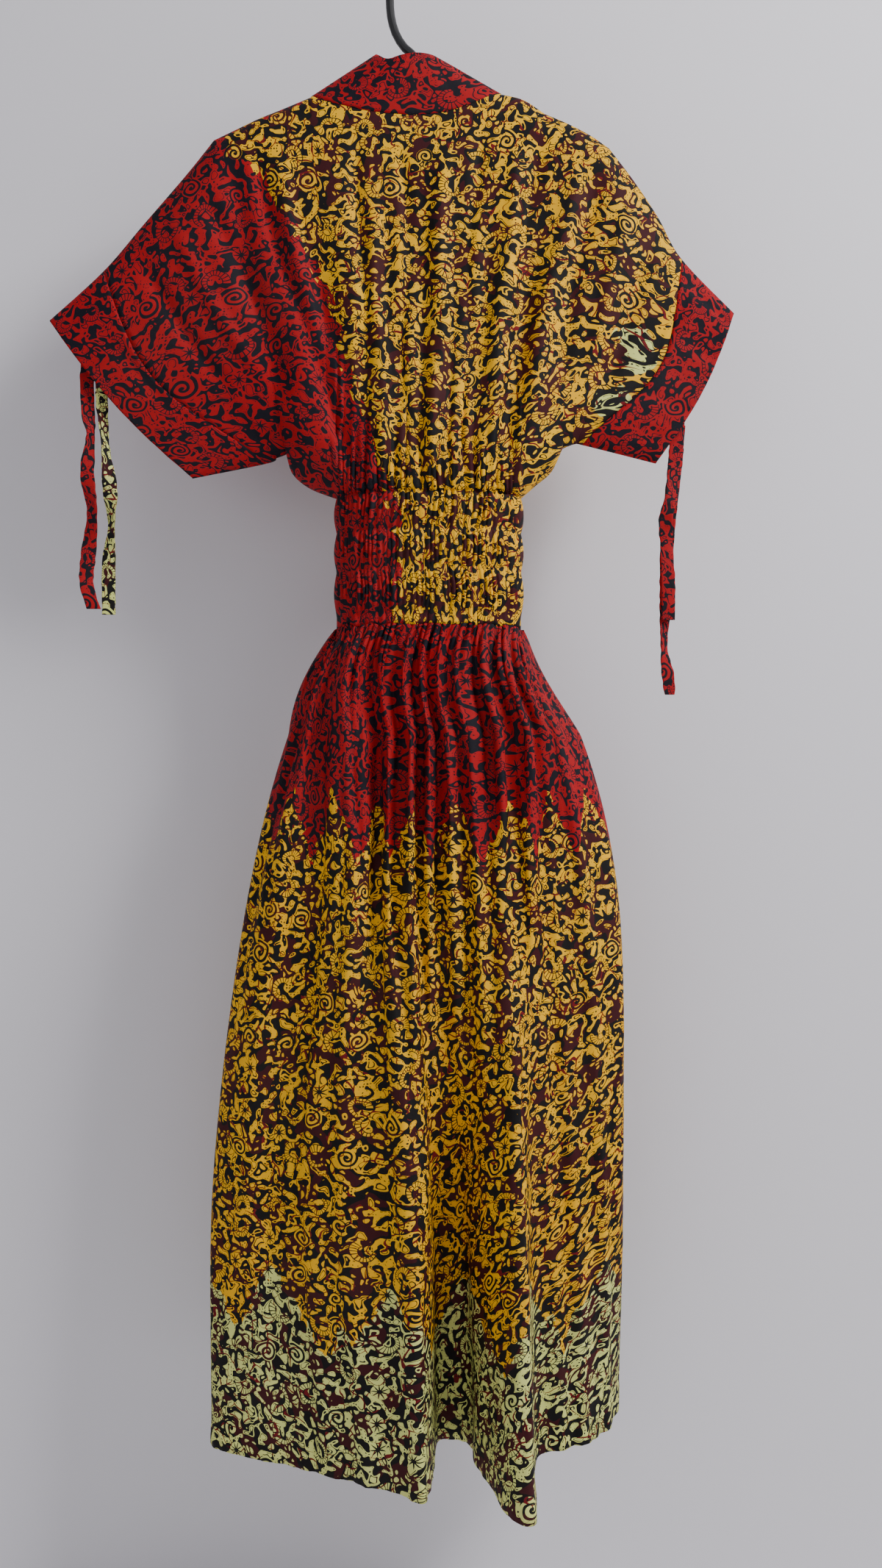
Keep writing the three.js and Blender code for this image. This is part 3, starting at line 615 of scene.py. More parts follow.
def edge_fade(h, length, has_waist):
    """0 along the bodice's own edges and 1 inside them. The waist's columns run on downwards."""
    both = smoothstep(np.minimum(h, 1 - h) * length, 1, 22)
    fade = np.where(has_waist[:, None], smoothstep(h * length, 1, 22), both)
    return np.concatenate([fade, np.repeat(fade[:, -1:], WAIST_ROWS, 1)], 1)


def crumples(side, u, z):
    """Puckers of the waist. Each band between two rows of elastic has its own."""
    top, last = ELASTIC_Z[0], ELASTIC_Z[-1]
    band, _ = elastic_band(z)
    out = np.where(z > top, ripple(u, GATHER_PERIOD, SEED.shirring), 0)
    for number in range(1, len(ELASTIC_Z)):
        mine = (band == number) & (z <= top) & (z >= last)
        own = ripple(u, GATHER_PERIOD - 0.5 * number, SEED.shirring + number)
        out = np.where(mine, own, out)
    out = np.where(z < last, ripple(u, GATHER_PERIOD, GATHER_SEED[side]), out)
    slant = ripple(0.6 * u + 0.8 * z, 11.0, SEED.bodice_slant)
    return out + 0.45 * slant * ripple(u - 0.3 * z, 19.0, SEED.bodice_cross)


def bodice_sheet(side, pucker):
    h = cosine_steps(BODICE_ROWS[side])
    points, has_waist = bodice_grid(side, h)
    keep = np.ones(points.shape[:2], bool)
    keep[~has_waist, len(h) :] = False
    down = run_down(points)
    sheet = Sheet(points, bodice_flat(points, len(h), down), side == "back", keep=keep)
    x, z = points[..., 0], points[..., 2]
    sheet.marks = bodice_zones(x, z, down)

    top = ELASTIC_Z[0]
    fade = edge_fade(h[None], down[:, len(h) - 1][:, None], has_waist)
    to_side = smoothstep(WAIST.half - np.abs(x - WAIST.centre), -2, 12)
    fade = fade * np.where(z < -500, to_side, 1)
    near = 1 - smoothstep(z, top - 5, top + 60)
    wide = 1 - smoothstep(z, top, top + 190)
    u = waist_arc(x) + 1.4 * np.sin(z / 17.0) + 0.8 * np.sin(z / 7.3 + 1)
    between = np.clip(elastic_band(z)[1], 0, 1)
    swell = 1 - PUFF_ROW_SHARE + PUFF_ROW_SHARE * np.sin(np.pi * between)
    swell = np.where(z < top, swell, 1)
    gathers = pucker * near * swell * crumples(side, u, z)
    creases = crease_depth(BACK_CREASES if side == "back" else FRONT_CREASES, x, z)
    tucks = valleys(u, z - top, 17, 3.4, (50, 190), 3.0, SEED.tucks) * smoothstep(z, -575, -540)
    folds = 1.6 * wide * (1 - 0.5 * near) * ripple(u * 1.15, 24.0, SEED.bodice_folds) + tucks
    drawn = 0.9 * np.exp(-(((z[..., None] - ELASTIC_Z) / 2.2) ** 2)).sum(-1) * (z < top + 8)
    sheet.points[..., 2] += seam_wave(x, z - WAIST_Z) * (z < top)
    sheet.press(fade * (1.8 * creases * (1 - near) + gathers + 1.4 * folds + drawn))
    return sheet


def waist_arc(x):
    """A coordinate along the waist that grows faster round its sides."""
    across = np.clip((x - WAIST.centre) / WAIST.half, -0.995, 0.995)
    return WAIST.half * (0.6 * across + 0.55 * np.arcsin(across))


def cuff_sheet(name):
    down = cosine_steps(56)
    opening = 0.0 if name == "left_sleeve" else 1.0
    across = np.linspace(0, 1, 19)
    halves = []
    for side, h in (("back", down), ("front", down[1:-1][::-1])):
        along = lerp(opening, cuff_seam(name, h)[:, None], across[None])
        halves.append(bodice_points(name, along, h[:, None], side))
    points = np.concatenate(halves)
    ring = run_across(points, len(across) // 2)
    flat = np.stack(np.broadcast_arrays(ring[:, None], run_down(points)), -1).astype(float)
    sheet = Sheet(points, flat, name == "right_sleeve", loop=True)
    h_ring = np.concatenate([down, down[1:-1][::-1]])[:, None]
    edges = smoothstep(np.minimum(h_ring, 1 - h_ring), 0.0, 0.12)
    wave = 1.6 * ripple(ring[:, None] + 0 * across, 46.0, SEED.cuff_wave)
    wave = wave + 0.7 * ripple(ring[:, None] + 3 * across, 17.0, SEED.cuff_fine)
    wave = wave * lerp(1.0, 0.25, across[None] ** 2)
    creases = crease_depth(BACK_CREASES, points[..., 0], points[..., 2])
    sheet.press(edges * (wave + lerp(0.7, 1.6, across[None]) * creases))
    return sheet


def band_sheet(side, t, free):
    across = np.linspace(0, 1, 17)
    seam = bodice_points("neck", t, np.zeros(len(t)), side)
    x = lerp(free[:, :1], seam[:, :1], across[None])
    z = lerp(free[:, 1:], seam[:, 2:], across[None])
    depth = neck_depth(x, z, side)
    points = np.stack([x, -depth if side == "back" else depth, z], -1)
    run = run_across(points, len(across) // 2)[:, None]
    flat = np.stack(np.broadcast_arrays(run, run_down(points)), -1).astype(float)
    sheet = Sheet(points, flat, side == "back")
    ends = smoothstep(np.minimum(run, run[-1] - run), 2, 14)
    soft = np.sin(np.pi * across)[None]
    sheet.press(ends * soft * 0.7 * ripple(run + 4 * across[None], 21.0, SEED.neckband))
    return sheet


def band_columns():
    return np.unique(np.append(cosine_steps(96), V_POINT_T))


def neckband_back():
    t = band_columns()
    return band_sheet("back", t, smooth_rows(BAND_TOP, t))


def neckband_front(is_left):
    t = band_columns()
    t = t[t <= V_POINT_T] if is_left else t[t >= V_POINT_T]
    share = t / V_POINT_T if is_left else (1 - t) / (1 - V_POINT_T)
    fold = BAND_TOP[0] if is_left else BAND_TOP[-1]
    return band_sheet("front", t, lerp(fold[None], np.array(BAND_POINT)[None], share[:, None]))


def zone_edge(u, edge):
    """Height of the border between two colours: uneven spikes along the cloth."""
    place = u / edge.period + 0.12 * np.sin(2 * np.pi * u / (3.7 * edge.period))
    spike = 4 * np.abs(place - np.floor(place) - 0.5) - 1
    return edge.z + edge.rise * (spike + 0.3 * ripple(u, edge.period / 3, SEED.border))


def skirt_sheet(side, pucker):
    folds = BACK_FOLDS if side == "back" else FRONT_FOLDS
    columns, rows = SKIRT_GRID[side]
    t, v = np.linspace(0, 1, columns + 1), np.linspace(0, 1, rows + 1)
    points = skirt_points(folds, t, v)
    # the print is even across the skirt's middle, and below it blends to be even along the hem
    width = run_across(points, int(0.62 * rows))
    down = run_down(points)
    at_hem = run_across(points, -1)
    u = lerp(width[:, None], at_hem[:, None], smoothstep(v, 0.6, 1.0)[None])
    flat = np.stack([u, WAIST_Z - down], -1)
    sheet = Sheet(points, flat, side == "back")
    u = np.broadcast_to(width[:, None], down.shape)
    sheet.marks["red_in"] = flat[..., 1] - zone_edge(u, RED_TO_YELLOW)
    sheet.marks["lime_in"] = zone_edge(u, YELLOW_TO_LIME) - flat[..., 1]

    x = points[..., 0]
    oval = waist_depth(x, side) * (-1 if side == "back" else 1)
    sheet.points[..., 1] = lerp(oval, points[..., 1], smoothstep(down, 0, 26))
    sheet.points[..., 2] += seam_wave(x, down)
    waist_u = waist_arc(points[:, :1, 0]) + 0.05 * down + 1.2 * np.sin(down / 19.0)
    sides = smoothstep(np.minimum(u, width[-1] - u), 1, 20)
    hem_step = 0.7 * (1 - smoothstep(down[:, -1:] - down, 12, 14.5))
    sheet.press(sides * skirt_folds(side, pucker, u, waist_u, down) - hem_step)
    return sheet


def skirt_folds(side, pucker, u, waist_u, down):
    """Gathers below the waist, which run on into long soft folds, and a wavy hem."""
    near = np.exp(-((down / 46.0) ** 1.6))
    gathers = pucker * near * ripple(waist_u, GATHER_PERIOD, GATHER_SEED[side])
    narrow = valleys(waist_u, down, 10.5, 6.0, (60, 330), 2.1, SEED.skirt_valleys)
    gathers = gathers + smoothstep(down, 0, 18) * narrow
    bent_u = u * 0.55 + 5 * np.sin(down / 70.0)
    upper = 3.92 * smoothstep(down, 6, 70) * np.exp(-down / 210.0)
    upper = upper * ripple(bent_u, 15.0, SEED.skirt_upper)
    long_u = u + 9 * np.sin(down / 260.0 + 1)
    long = 3.0 * smoothstep(down, 60, 260) * ripple(long_u, 39.0, SEED.skirt_long)
    slant = 0.8 * smoothstep(down, 90, 300) * ripple(u + 0.16 * down, 23.0, SEED.skirt_slant)
    level = 0.7 * smoothstep(down, 200, 400) * ripple(down - 0.4 * u, 61.0, SEED.skirt_level)
    hem = (1 - smoothstep(down[:, -1:] - down, 8, 34)) * ripple(u, 11.0, SEED.hem)
    return gathers + upper + long + slant + level + hem


STRAP_GRID = (130, 12)  # steps down a tie, and points round it


def strap_mesh(stations, seed):
    """A flat strap with soft corners, turned and pinched as it hangs."""
    count, ring = STRAP_GRID
    row = smooth_rows(stations, np.linspace(0, 1, count + 1))
    turn = np.radians(row[:, 4])
    across = np.stack([np.cos(turn), np.sin(turn), 0 * turn], -1)
    through = np.stack([-np.sin(turn), np.cos(turn), 0 * turn], -1)
    angle = 2 * np.pi * (np.arange(ring) + 0.5) / ring
    a, b = (np.sign(w) * np.abs(w) ** 0.35 for w in (np.cos(angle), np.sin(angle)))
    down = row[0, 2] - row[:, 2]
    cup = 0.9 * ripple(down, 46.0, seed)[:, None] * (a[None] ** 2 - 0.5)
    crumple = 0.5 * ripple(down[:, None] + 6 * a[None], 14.0, seed + 1)
    half = row[:, 3:4] / 2 + 0.5 * ripple(down, 18.0, seed + 2)[:, None]
    thick = b[None] * TIE_THICKNESS / 2 + cup + crumple
    points = row[:, None, :3] + across[:, None] * (a[None] * half)[..., None]
    points = points + through[:, None] * thick[..., None]
    girth = np.concatenate([[0], np.cumsum(np.linalg.norm(np.diff(points[0], axis=0), axis=1))])
    flat = np.stack(np.broadcast_arrays(girth[None], down[:, None]), -1).astype(float)
    return points, flat


# ---------------------------------------------------------------- meshes


def mesh_object(name, points, faces, flat, marks):
    """A smooth mesh from points in millimetres, with its flat coordinates and its marks."""
    mesh = bpy.data.meshes.new(name)
    mesh.from_pydata((points * MM).tolist(), [], faces)
    layer = mesh.uv_layers.new(name="Cloth")
    loops = np.empty(len(mesh.loops), np.int32)
    mesh.loops.foreach_get("vertex_index", loops)
    layer.data.foreach_set("uv", (flat[loops] * MM).astype(np.float32).ravel())
    for mark, values in marks.items():
        attribute = mesh.attributes.new(mark, "FLOAT", "POINT")
        attribute.data.foreach_set("value", values.astype(np.float32))
    mesh.polygons.foreach_set("use_smooth", np.ones(len(mesh.polygons), bool))
    piece = bpy.data.objects.new(name, mesh)
    bpy.context.scene.collection.objects.link(piece)
    return piece


def only_active(piece):
    bpy.ops.object.select_all(action="DESELECT")
    piece.select_set(True)
    bpy.context.view_layer.objects.active = piece


def sheet_object(name, sheet, thickness):
    """A sheet as a shell, thickened outwards. Without marks of its own it is red all over."""
    quads = sheet.quads()
    used, faces = np.unique(quads, return_inverse=True)
    shape = sheet.points.shape[:2]
    marks = {"red_in": np.full(shape, IN_ZONE), "lime_in": np.full(shape, NO_ZONE), **sheet.marks}
    marks = {mark: grid.ravel()[used] for mark, grid in marks.items()}
    points, flat = sheet.points.reshape(-1, 3)[used], sheet.flat.reshape(-1, 2)[used]
    piece = mesh_object(name, points, faces.reshape(quads.shape).tolist(), flat, marks)
    only_active(piece)
    solid = piece.modifiers.new("Thickness", "SOLIDIFY")
    solid.thickness, solid.offset, solid.use_rim = thickness * MM, 1.0, True
    bpy.ops.object.modifier_apply(modifier=solid.name)
    return piece


LIME_EDGE = SimpleNamespace(to_x=-3.0, top=-512.0, bottom=-606.0)  # x from the tie's middle


def tie_object(name, stations, colour, seed):
    points, flat = strap_mesh(stations, seed)
    rows, ring = points.shape[:2]
    index = np.arange(rows * ring).reshape(rows, ring)
    following = np.roll(index, -1, 1)
    quads = np.stack([index[:-1], following[:-1], following[1:], index[1:]], -1).reshape(-1, 4)
    faces = quads[:, ::-1].tolist() + [index[0].tolist(), index[-1][::-1].tolist()]
    zone = {"red": (IN_ZONE, NO_ZONE), "lime": (NO_ZONE, IN_ZONE)}[colour]
    marks = {m: np.full(rows * ring, value) for m, value in zip(("red_in", "lime_in"), zone)}
    if name == "tie_right_front":
        # a strip of the lime border shows along one edge
        x = (points[..., 0] - points[..., 0].mean(1, keepdims=True)).ravel()
        z = points[..., 2].ravel()
        strip = (x < LIME_EDGE.to_x) & (z < LIME_EDGE.top) & (z > LIME_EDGE.bottom)
        marks["red_in"] = np.where(strip, NO_ZONE, IN_ZONE)
        marks["lime_in"] = np.where(strip, IN_ZONE, NO_ZONE)
    piece = mesh_object(name, points.reshape(-1, 3), faces, flat.reshape(-1, 2), marks)
    only_active(piece)
    bpy.ops.object.mode_set(mode="EDIT")
    bpy.ops.mesh.select_all(action="SELECT")
    bpy.ops.mesh.normals_make_consistent(inside=False)
    bpy.ops.object.mode_set(mode="OBJECT")
    return piece


# ---------------------------------------------------------------- materials


class Wire:
    """A value in a material's nodes, worked with as in ordinary sums."""

    def __init__(self, book, socket):
        self.book, self.socket = book, socket

    def _sum(self, operation, *others):
        return self.book.node("ShaderNodeMath", {"operation": operation}, [self, *others])[0]

    def __add__(self, other):
        return self._sum("ADD", other)

    __radd__ = __add__

    def __mul__(self, other):
        return self._sum("MULTIPLY", other)

    __rmul__ = __mul__

    def __sub__(self, other):
        return self._sum("SUBTRACT", other)

    def __rsub__(self, other):
        return self.book.node("ShaderNodeMath", {"operation": "SUBTRACT"}, [other, self])[0]

    def __truediv__(self, other):
        return self._sum("DIVIDE", other)

    def __lt__(self, other):
        return self._sum("LESS_THAN", other)

    def __gt__(self, other):
        return self._sum("GREATER_THAN", other)

    def sin(self):
        return self._sum("SINE")

    def fract(self):
        return self._sum("FRACT")

    def size(self):
        return self._sum("ABSOLUTE")

    def either(self, other):
        return self._sum("MAXIMUM", other)


class Book:
    """One material's nodes."""

    def __init__(self, name):
        self.material = bpy.data.materials.new(name)
        self.material.use_nodes = True
        self.tree = self.material.node_tree
        self.shader = self.tree.nodes["Principled BSDF"]

    def put(self, socket, value):
        if isinstance(value, Wire):
            self.tree.links.new(value.socket, socket)
        else:
            socket.default_value = value

    def node(self, kind, settings=None, inputs=()):
        """Adds a node: its settings first, then its sockets, by place or by name."""
        made = self.tree.nodes.new(kind)
        for key, value in (settings or {}).items():
            setattr(made, key, value)
        pairs = inputs.items() if isinstance(inputs, dict) else enumerate(inputs)
        for key, value in pairs:
            self.put(made.inputs[key], value)
        return [Wire(self, out) for out in made.outputs]

    def vector(self, operation, *inputs):
        return self.node("ShaderNodeVectorMath", {"operation": operation}, inputs)

    def scaled(self, place, factor):
        made = self.tree.nodes.new("ShaderNodeVectorMath")
        made.operation = "SCALE"
        self.put(made.inputs[0], place)
        made.inputs["Scale"].default_value = factor
        return Wire(self, made.outputs[0])

    def parts(self, place):
        return self.node("ShaderNodeSeparateXYZ", {}, [place])

    def noise(self, place, size, detail=1.0):
        settings = {"noise_dimensions": "2D"}
        return self.node(
            "ShaderNodeTexNoise", settings, {"Vector": place, "Scale": 1 / size, "Detail": detail}
        )

    def cells(self, place, size, feature="F1", randomness=1.0):
        settings = {"voronoi_dimensions": "2D", "feature": feature}
        sizes = {"Vector": place, "Scale": 1 / size, "Randomness": randomness}
        return self.node("ShaderNodeTexVoronoi", settings, sizes)

    def mix(self, factor, a, b):
        made = self.tree.nodes.new("ShaderNodeMix")
        made.data_type = "RGBA"
        for key, value in ((0, factor), (6, a), (7, b)):
            self.put(made.inputs[key], value)
        return Wire(self, made.outputs[2])

    def mark(self, name):
        return self.node("ShaderNodeAttribute", {"attribute_name": name})[2]

    def finish(self, **values):
        for key, value in values.items():
            self.put(self.shader.inputs[key.replace("_", " ")], value)
        return self.material


def linear(colour):
    """A shade from 0 to 255 as a material's colour."""
    shares = [c / 255 for c in colour]
    return (*[s / 12.92 if s <= 0.04045 else ((s + 0.055) / 1.055) ** 2.4 for s in shares], 1.0)


MOTIF = 41.0  # the large motifs of the print stand about this far apart
CURLS, STARS = 0.27, 0.4  # shares of the cells: curls below the first, stars up to the second
STAR_POINTS = 9
RUNGS = 20  # to a full turn of a ladder-barred arc
WEAVE = 6.283 / 0.62  # radians to a millimetre: a pair of threads takes 0.62 mm


def large_motifs(book, place):
    """Curls, stars and ladder-barred arcs, one to a cell. Returns their own room and their ink."""
    cell = book.cells(place, MOTIF, randomness=0.8)
    dx, dy, _ = book.parts(book.vector("SUBTRACT", place, cell[2])[0])
    reach = cell[0] * MOTIF
    kind, own, size = book.node("ShaderNodeSeparateColor", {}, [cell[1]])[:3]
    angle = book.node("ShaderNodeMath", {"operation": "ARCTAN2"}, [dy, dx])[0]
    turned = angle + own * FULL_TURN
    share = (turned * (1 / FULL_TURN)).fract()
    # a curl: one line wound out from the middle, with a round head
    pitch = 4.3 + 1.5 * size
    wound = (reach / pitch - share).fract()
    is_curl = kind < CURLS
    curl = ((wound - 0.5).size() > 0.27).either(reach < 1.6)
    curl_room = is_curl * (reach < pitch * (0.9 + 0.9 * own) + share * pitch)
    # a star
    point = ((turned * (STAR_POINTS / FULL_TURN)).fract() - 0.5).size()
    is_star = (kind > CURLS) * (kind < STARS)
    star = reach < 2.2 + 24.0 * point * point
    star_room = is_star * (reach < 7.8)
    # an arc like a bent ladder, tapering to a tail
    half = 4.0 - 3.0 * share
    off = reach - (6.8 + 4.0 * size)
    is_arc = kind > STARS
    arc_room = is_arc * (off.size() < half) * (share < 0.78 - 0.2 * size) * (share > 0.02)
    rung = ((turned * (RUNGS / FULL_TURN)).fract() < 0.27).either(off.size() > half - 0.85)
    room = curl_room.either(star_room).either(arc_room)
    ink = (is_curl * curl).either(is_star * star).either(is_arc * rung)
    return room, ink


def maze_value(book, place, size):
    """A wandering pattern of even width, like a labyrinth, about 0 on average."""
    inputs = {"Vector": place, "Scale": 1 / size, "Frequency": 1.0, "Anisotropy": 0.0}
    return book.node("ShaderNodeTexGabor", {"gabor_type": "2D"}, inputs)[0] - 0.5


def wax_print(book, place, red, lime, colours):
    """The print: large motifs in a maze of black, over three grounds, with fine crackle."""
    slow = book.vector("SUBTRACT", book.noise(place, 15.0, 0.0)[1], (0.5, 0.5, 0.5))[0]
    quick = book.vector("SUBTRACT", book.noise(place, 8.0, 0.0)[1], (0.5, 0.5, 0.5))[0]
    bent = book.vector("ADD", place, book.scaled(slow, 8.0))[0]
    bent = book.vector("ADD", bent, book.scaled(quick, 1.5))[0]
    room, motif_ink = large_motifs(book, book.vector("ADD", place, book.scaled(slow, 4.0))[0])

    # the grounds change along jagged borders that keep to the print's own cells
    own = book.node("ShaderNodeSeparateColor", {}, [book.cells(bent, 12.0)[1]])[0]
    jag = (own - 0.5) * 17.0
    in_red = (red + jag) > 0.0
    in_lime = (lime + jag) > 0.0

    # the maze between them: lobed blobs, with thin lines and rows of dots along their edges
    depth = maze_value(book, bent, 11.4) + 0.25 * (book.noise(place, 24.0, 0.0)[0] - 0.5)
    blob = depth > in_red * 0.036 - 0.020
    line = ((depth + 0.125).size() < 0.026) * (book.noise(place, 20.0, 0.0)[0] > 0.52)
    row = ((depth + 0.095).size() < 0.026) * (book.noise(place, 20.0, 0.0)[0] < 0.47)
    dots = (book.cells(place, 3.1, randomness=0.15)[0] < 0.3) * row
    eye = (depth > 0.2) * (book.noise(place, 12.0, 0.0)[0] > 0.56)
    maze = (blob * (1.0 - eye)).either(line).either(dots)
    black = (room * motif_ink).either((1.0 - room) * maze)

    ground = book.mix(in_lime, colours["yellow"], colours["lime"])
    deep = book.mix(in_lime, colours["yellow_deep"], colours["lime_deep"])
    ground = book.mix(book.noise(place, 90.0, 2.0)[0] * 0.5, ground, deep)
    crack_place = book.vector("ADD", place, book.scaled(slow, 12.0))[0]
    crack_width = (book.noise(place, 21.0, 0.0)[0] - 0.30) * 0.16
    crack = book.cells(crack_place, 14.0, "DISTANCE_TO_EDGE")[0] < crack_width
    ground = book.mix(crack, ground, colours["burgundy"])
    ground = book.mix(in_red, ground, colours["red"])
    stained = (book.noise(crack_place, 24.0, 1.0)[0] > 0.57) * (1.0 - in_red)
    ink = book.mix(in_red, colours["black"], colours["navy"])
    ink = book.mix(stained, ink, colours["stain"])
    return book.mix(black, ground, ink)


def cloth_material(name, settings, turn):
    """Printed cotton. turn, from 0 to 1, says which stretch of the cloth a piece is cut from."""
    book = Book(name)
    flat = book.node("ShaderNodeUVMap", {"uv_map": "Cloth"})[0]
    place = book.scaled(flat, 1 / MM)
    place = book.vector("ADD", place, (1300.0 + 977.0 * turn, 2100.0, 0.0))[0]
    colours = {key: tuple(getattr(settings, key)) + (1.0,) for key in PRINT_COLOURS}
    shade = wax_print(book, place, book.mark("red_in"), book.mark("lime_in"), colours)
    worn = book.noise(place, 140.0, 3.0)[0]
    shade = book.mix(worn * 0.03, shade, (0.5, 0.42, 0.34, 1.0))
    x, y, _ = book.parts(place)
    weave = (x * WEAVE).sin() * (y * WEAVE).sin()
    height = weave * 0.12 + book.noise(place, 6.0, 3.0)[0] * 1.6
    sizes = {"Strength": 0.35, "Distance": 0.4 * MM, "Height": height}
    bump = book.node("ShaderNodeBump", {}, sizes)
    rough = 0.62 + 0.18 * book.noise(place, 30.0, 2.0)[0]
    book.shader.inputs["Specular IOR Level"].default_value = 0.14
    return book.finish(Base_Color=shade, Roughness=rough, Normal=bump[0])


def plastic_material():
    book = Book("hanger_plastic")
    place = book.node("ShaderNodeTexCoord")[3]
    grain = book.noise(book.scaled(place, 1 / MM), 3.0, 4.0)[0]
    scuffs = book.noise(book.scaled(place, 1 / MM), 24.0, 6.0)[0]
    shade = book.mix(scuffs * 0.5, (0.012, 0.012, 0.014, 1), (0.032, 0.031, 0.033, 1))
    sizes = {"Strength": 0.2, "Distance": 0.2 * MM, "Height": grain}
    bump = book.node("ShaderNodeBump", {}, sizes)
    return book.finish(Base_Color=shade, Roughness=0.26 + 0.22 * scuffs, Normal=bump[0])


# ---------------------------------------------------------------- the add-on

PRINT_COLOURS = {
    "yellow": (248, 190, 0),
    "yellow_deep": (232, 156, 0),
    "lime": (222, 226, 136),
    "lime_deep": (206, 212, 108),
    "red": (164, 5, 20),
    "black": (10, 10, 14),
    "navy": (12, 12, 26),
    "burgundy": (112, 10, 22),
    "stain": (58, 8, 18),
}


def colour_property(key):
    words = key.replace("_", " ")
    return bpy.props.FloatVectorProperty(
        name=words.capitalize(),
        description=f"The {words} of the print",
        subtype="COLOR",
        size=3,
        min=0,
        max=1,
        default=linear(PRINT_COLOURS[key])[:3],
    )


def size_property(name, words, default, low, high):
    description = words + ", in millimetres"
    return bpy.props.FloatProperty(
        name=name, description=description, default=default, min=low, max=high
    )


class DressSizes(bpy.types.PropertyGroup):
    """Sizes of the cloth."""

    cloth: size_property("Cloth", "Thickness of one layer", 0.9, 0.2, 2)
    band: size_property("Neckband", "Thickness of the doubled band", 1.6, 0.4, 3)
    pucker: size_property("Gathers", "Depth of the gathers at the waist", 3.0, 0, 4)


class DressColours(bpy.types.PropertyGroup):
    """Colours of the print."""

    __annotations__ = {key: colour_property(key) for key in PRINT_COLOURS}


CUT_FROM = {"print_bodice": 0.0, "print_red": 0.3, "print_skirt": 0.6, "print_tie": 0.8}


def print_of(slot):
    """A slot's printed cotton, made once."""
    name = slot + "_cotton"
    made = bpy.data.materials.get(name)
    return made or cloth_material(name, bpy.context.scene.dress_colours, CUT_FROM[slot])


def settle(piece, node, material):
    """Gives a piece its finish and its place in the frame."""
    piece.data.materials.append(material)
    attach(piece, "root")
    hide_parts(node)


def half_area(piece):
    return sum(face.area for face in piece.data.polygons) / 2


def add_sheet(name, sheet, thickness, slot):
    """Makes a sheet's piece. It works out the flat size that its cloth was cut to, but keeps it
    nowhere.
    """
    piece = sheet_object(name + "_cloth", sheet, thickness)
    lo, hi = sheet.flat[sheet.keep].min(0) * MM, sheet.flat[sheet.keep].max(0) * MM
    flat = tuple(float(side) for side in hi - lo)
    share = half_area(piece) / (flat[0] * flat[1])
    if share >= 1:
        flat = (flat[0] * share, flat[1])
    settle(piece, name, print_of(slot))


class DRESS_OT_bodice(bpy.types.Operator):
    """Makes the back and front of the bodice, with their sleeves and shirred waist"""

    bl_idname = "dress.bodice"
    bl_label = "Bodice"

    def execute(self, context):
        sizes = context.scene.dress_sizes
        for side in ("back", "front"):
            sheet = bodice_sheet(side, sizes.pucker)
            add_sheet(f"bodice_{side}", sheet, sizes.cloth, "print_bodice")
        return {"FINISHED"}


class DRESS_OT_cuffs(bpy.types.Operator):
    """Makes the red cuff at the end of each sleeve"""

    bl_idname = "dress.cuffs"
    bl_label = "Cuffs"

    def execute(self, context):
        for name, segment in (("cuff_left", "left_sleeve"), ("cuff_right", "right_sleeve")):
            sheet = cuff_sheet(segment)
            thickness = context.scene.dress_sizes.cloth
            add_sheet(name, sheet, thickness, "print_red")
        return {"FINISHED"}


class DRESS_OT_neckband(bpy.types.Operator):
    """Makes the doubled band round the neck, in a back piece and two front pieces"""

    bl_idname = "dress.neckband"
    bl_label = "Neckband"

    def execute(self, context):
        bands = {
            "neckband_back": neckband_back(),
            "neckband_left": neckband_front(True),
            "neckband_right": neckband_front(False),
        }
        for name, sheet in bands.items():
            thickness = context.scene.dress_sizes.band
            add_sheet(name, sheet, thickness, "print_red")
        return {"FINISHED"}


class DRESS_OT_skirt(bpy.types.Operator):
    """Makes the gathered skirt, back and front"""

    bl_idname = "dress.skirt"
    bl_label = "Skirt"

    def execute(self, context):
        sizes = context.scene.dress_sizes
        for side in ("back", "front"):
            sheet = skirt_sheet(side, sizes.pucker)
            add_sheet(f"skirt_{side}", sheet, sizes.cloth, "print_skirt")
        return {"FINISHED"}


class DRESS_OT_ties(bpy.types.Operator):
    """Makes the two ties of each cuff"""

    bl_idname = "dress.ties"
    bl_label = "Ties"

    def execute(self, context):
        colours = {
            "tie_left_outer": "red",
            "tie_left_inner": "lime",
            "tie_right_front": "red",
            "tie_right_behind": "red",
        }
        for seed, (name, colour) in enumerate(colours.items()):
            piece = tie_object(name + "_cloth", TIES[name], colour, SEED.ties + 3 * seed)
            material = print_of("print_tie")
            settle(piece, name, material)
        return {"FINISHED"}


class DRESS_OT_hanger(bpy.types.Operator):
    """Gives the hanger its satin black plastic"""

    bl_idname = "dress.hanger"
    bl_label = "Hanger"

    def execute(self, context):
        hanger = bpy.data.objects["hanger"]
        hanger.data.materials.clear()
        hanger.data.materials.append(plastic_material())
        return {"FINISHED"}


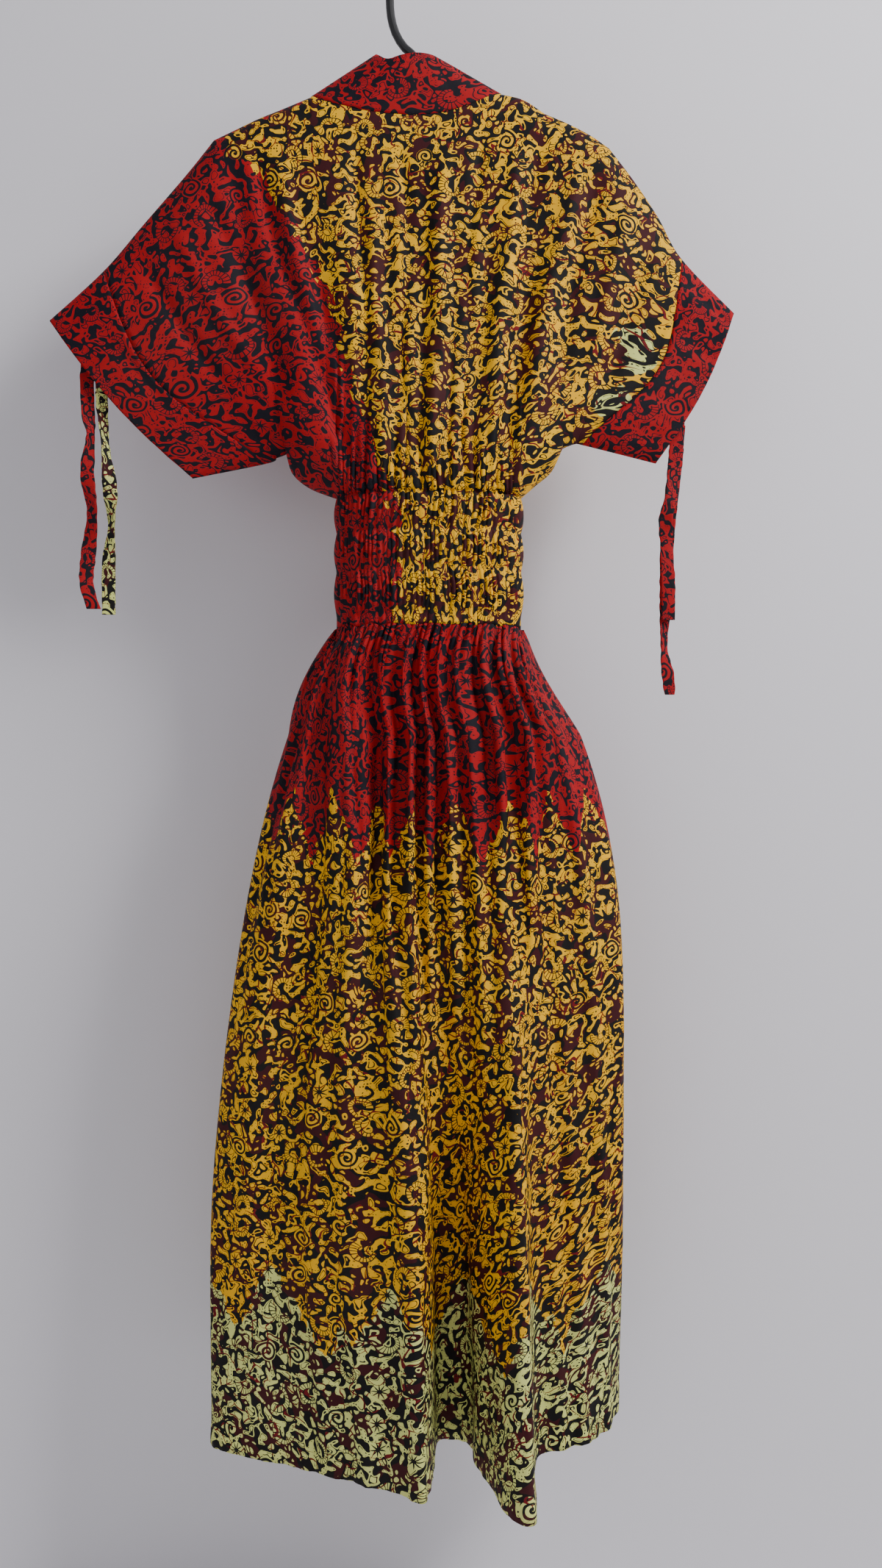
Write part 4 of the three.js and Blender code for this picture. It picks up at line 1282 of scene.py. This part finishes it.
class DRESS_OT_stage(bpy.types.Operator):
    """Sets up the pale wall and floor, the soft light and the camera"""

    bl_idname = "dress.stage"
    bl_label = "Stage"

    EYE = (0.030, -1.450, -0.864)
    LENS = 30.98
    WALL_Y = 0.16
    FLOOR_Z = -1.83

    def execute(self, context):
        wall = self.plane("wall", (0, self.WALL_Y, 0.4), (math.pi / 2, 0, 0), 7.0)
        floor = self.plane("floor", (0, 0, self.FLOOR_Z), (0, 0, 0), 9.0)
        wall.data.materials.append(self.paint("wall_paint", (0.83, 0.81, 0.86, 1)))
        floor.data.materials.append(self.paint("floor_paint", (0.8, 0.79, 0.8, 1)))
        self.light("key", (1.9, -1.25, 0.9), 0.9, 74)
        self.light("fill", (-1.7, -2.6, -0.9), 2.6, 15)
        self.light("back", (0.6, 2.6, 0.8), 2.4, 30)
        world = bpy.data.worlds.new("room")
        world.use_nodes = True
        world.node_tree.nodes["Background"].inputs[0].default_value = (0.78, 0.78, 0.82, 1)
        world.node_tree.nodes["Background"].inputs[1].default_value = 0.42
        context.scene.world = world
        camera = bpy.data.objects.new("camera", bpy.data.cameras.new("camera"))
        camera.data.lens = self.LENS
        camera.location = self.EYE
        camera.rotation_euler = (math.pi / 2, 0, 0)
        context.scene.collection.objects.link(camera)
        context.scene.camera = camera
        return {"FINISHED"}

    def plane(self, name, place, turn, size):
        bpy.ops.object.select_all(action="DESELECT")
        bpy.ops.mesh.primitive_plane_add(size=size, location=place, rotation=turn)
        made = bpy.context.object
        made.name = name
        return made

    def paint(self, name, colour):
        """Matt paint that is clear from behind, so that the wall hides nothing."""
        book = Book(name)
        book.finish(Base_Color=colour, Roughness=0.9)
        behind = book.node("ShaderNodeNewGeometry")[6]
        clear = book.node("ShaderNodeBsdfTransparent")[0]
        shown = Wire(book, book.shader.outputs[0])
        mixed = book.node("ShaderNodeMixShader", {}, [behind, shown, clear])[0]
        book.put(book.tree.nodes["Material Output"].inputs[0], mixed)
        return book.material

    def light(self, name, place, size, power):
        lamp = bpy.data.lights.new(name, "AREA")
        lamp.size, lamp.energy = size, power
        made = bpy.data.objects.new(name, lamp)
        made.location = place
        aim = Vector((0, 0, -0.8)) - made.location
        made.rotation_euler = aim.to_track_quat("-Z", "Y").to_euler()
        bpy.context.scene.collection.objects.link(made)


OPERATORS = (
    DRESS_OT_bodice,
    DRESS_OT_cuffs,
    DRESS_OT_neckband,
    DRESS_OT_skirt,
    DRESS_OT_ties,
    DRESS_OT_hanger,
    DRESS_OT_stage,
)


class DRESS_PT_panel(bpy.types.Panel):
    """The dress's pieces and sizes"""

    bl_idname = "DRESS_PT_panel"
    bl_label = "Wax Print Dress"
    bl_space_type = "VIEW_3D"
    bl_region_type = "UI"
    bl_category = "Dress"

    def draw(self, context):
        for group in (context.scene.dress_sizes, context.scene.dress_colours):
            for key in group.bl_rna.properties.keys():
                if key not in ("rna_type", "name"):
                    self.layout.prop(group, key)
        for operator in OPERATORS:
            self.layout.operator(operator.bl_idname)


CLASSES = (DressSizes, DressColours, *OPERATORS, DRESS_PT_panel)


def register():
    for one in CLASSES:
        bpy.utils.register_class(one)
    bpy.types.Scene.dress_sizes = bpy.props.PointerProperty(type=DressSizes)
    bpy.types.Scene.dress_colours = bpy.props.PointerProperty(type=DressColours)


def unregister():
    del bpy.types.Scene.dress_colours
    del bpy.types.Scene.dress_sizes
    for one in reversed(CLASSES):
        bpy.utils.unregister_class(one)


def main():
    register()
    for operator in OPERATORS:
        group, action = operator.bl_idname.split(".")
        getattr(getattr(bpy.ops, group), action)()


if __name__ == "__main__":
    main()
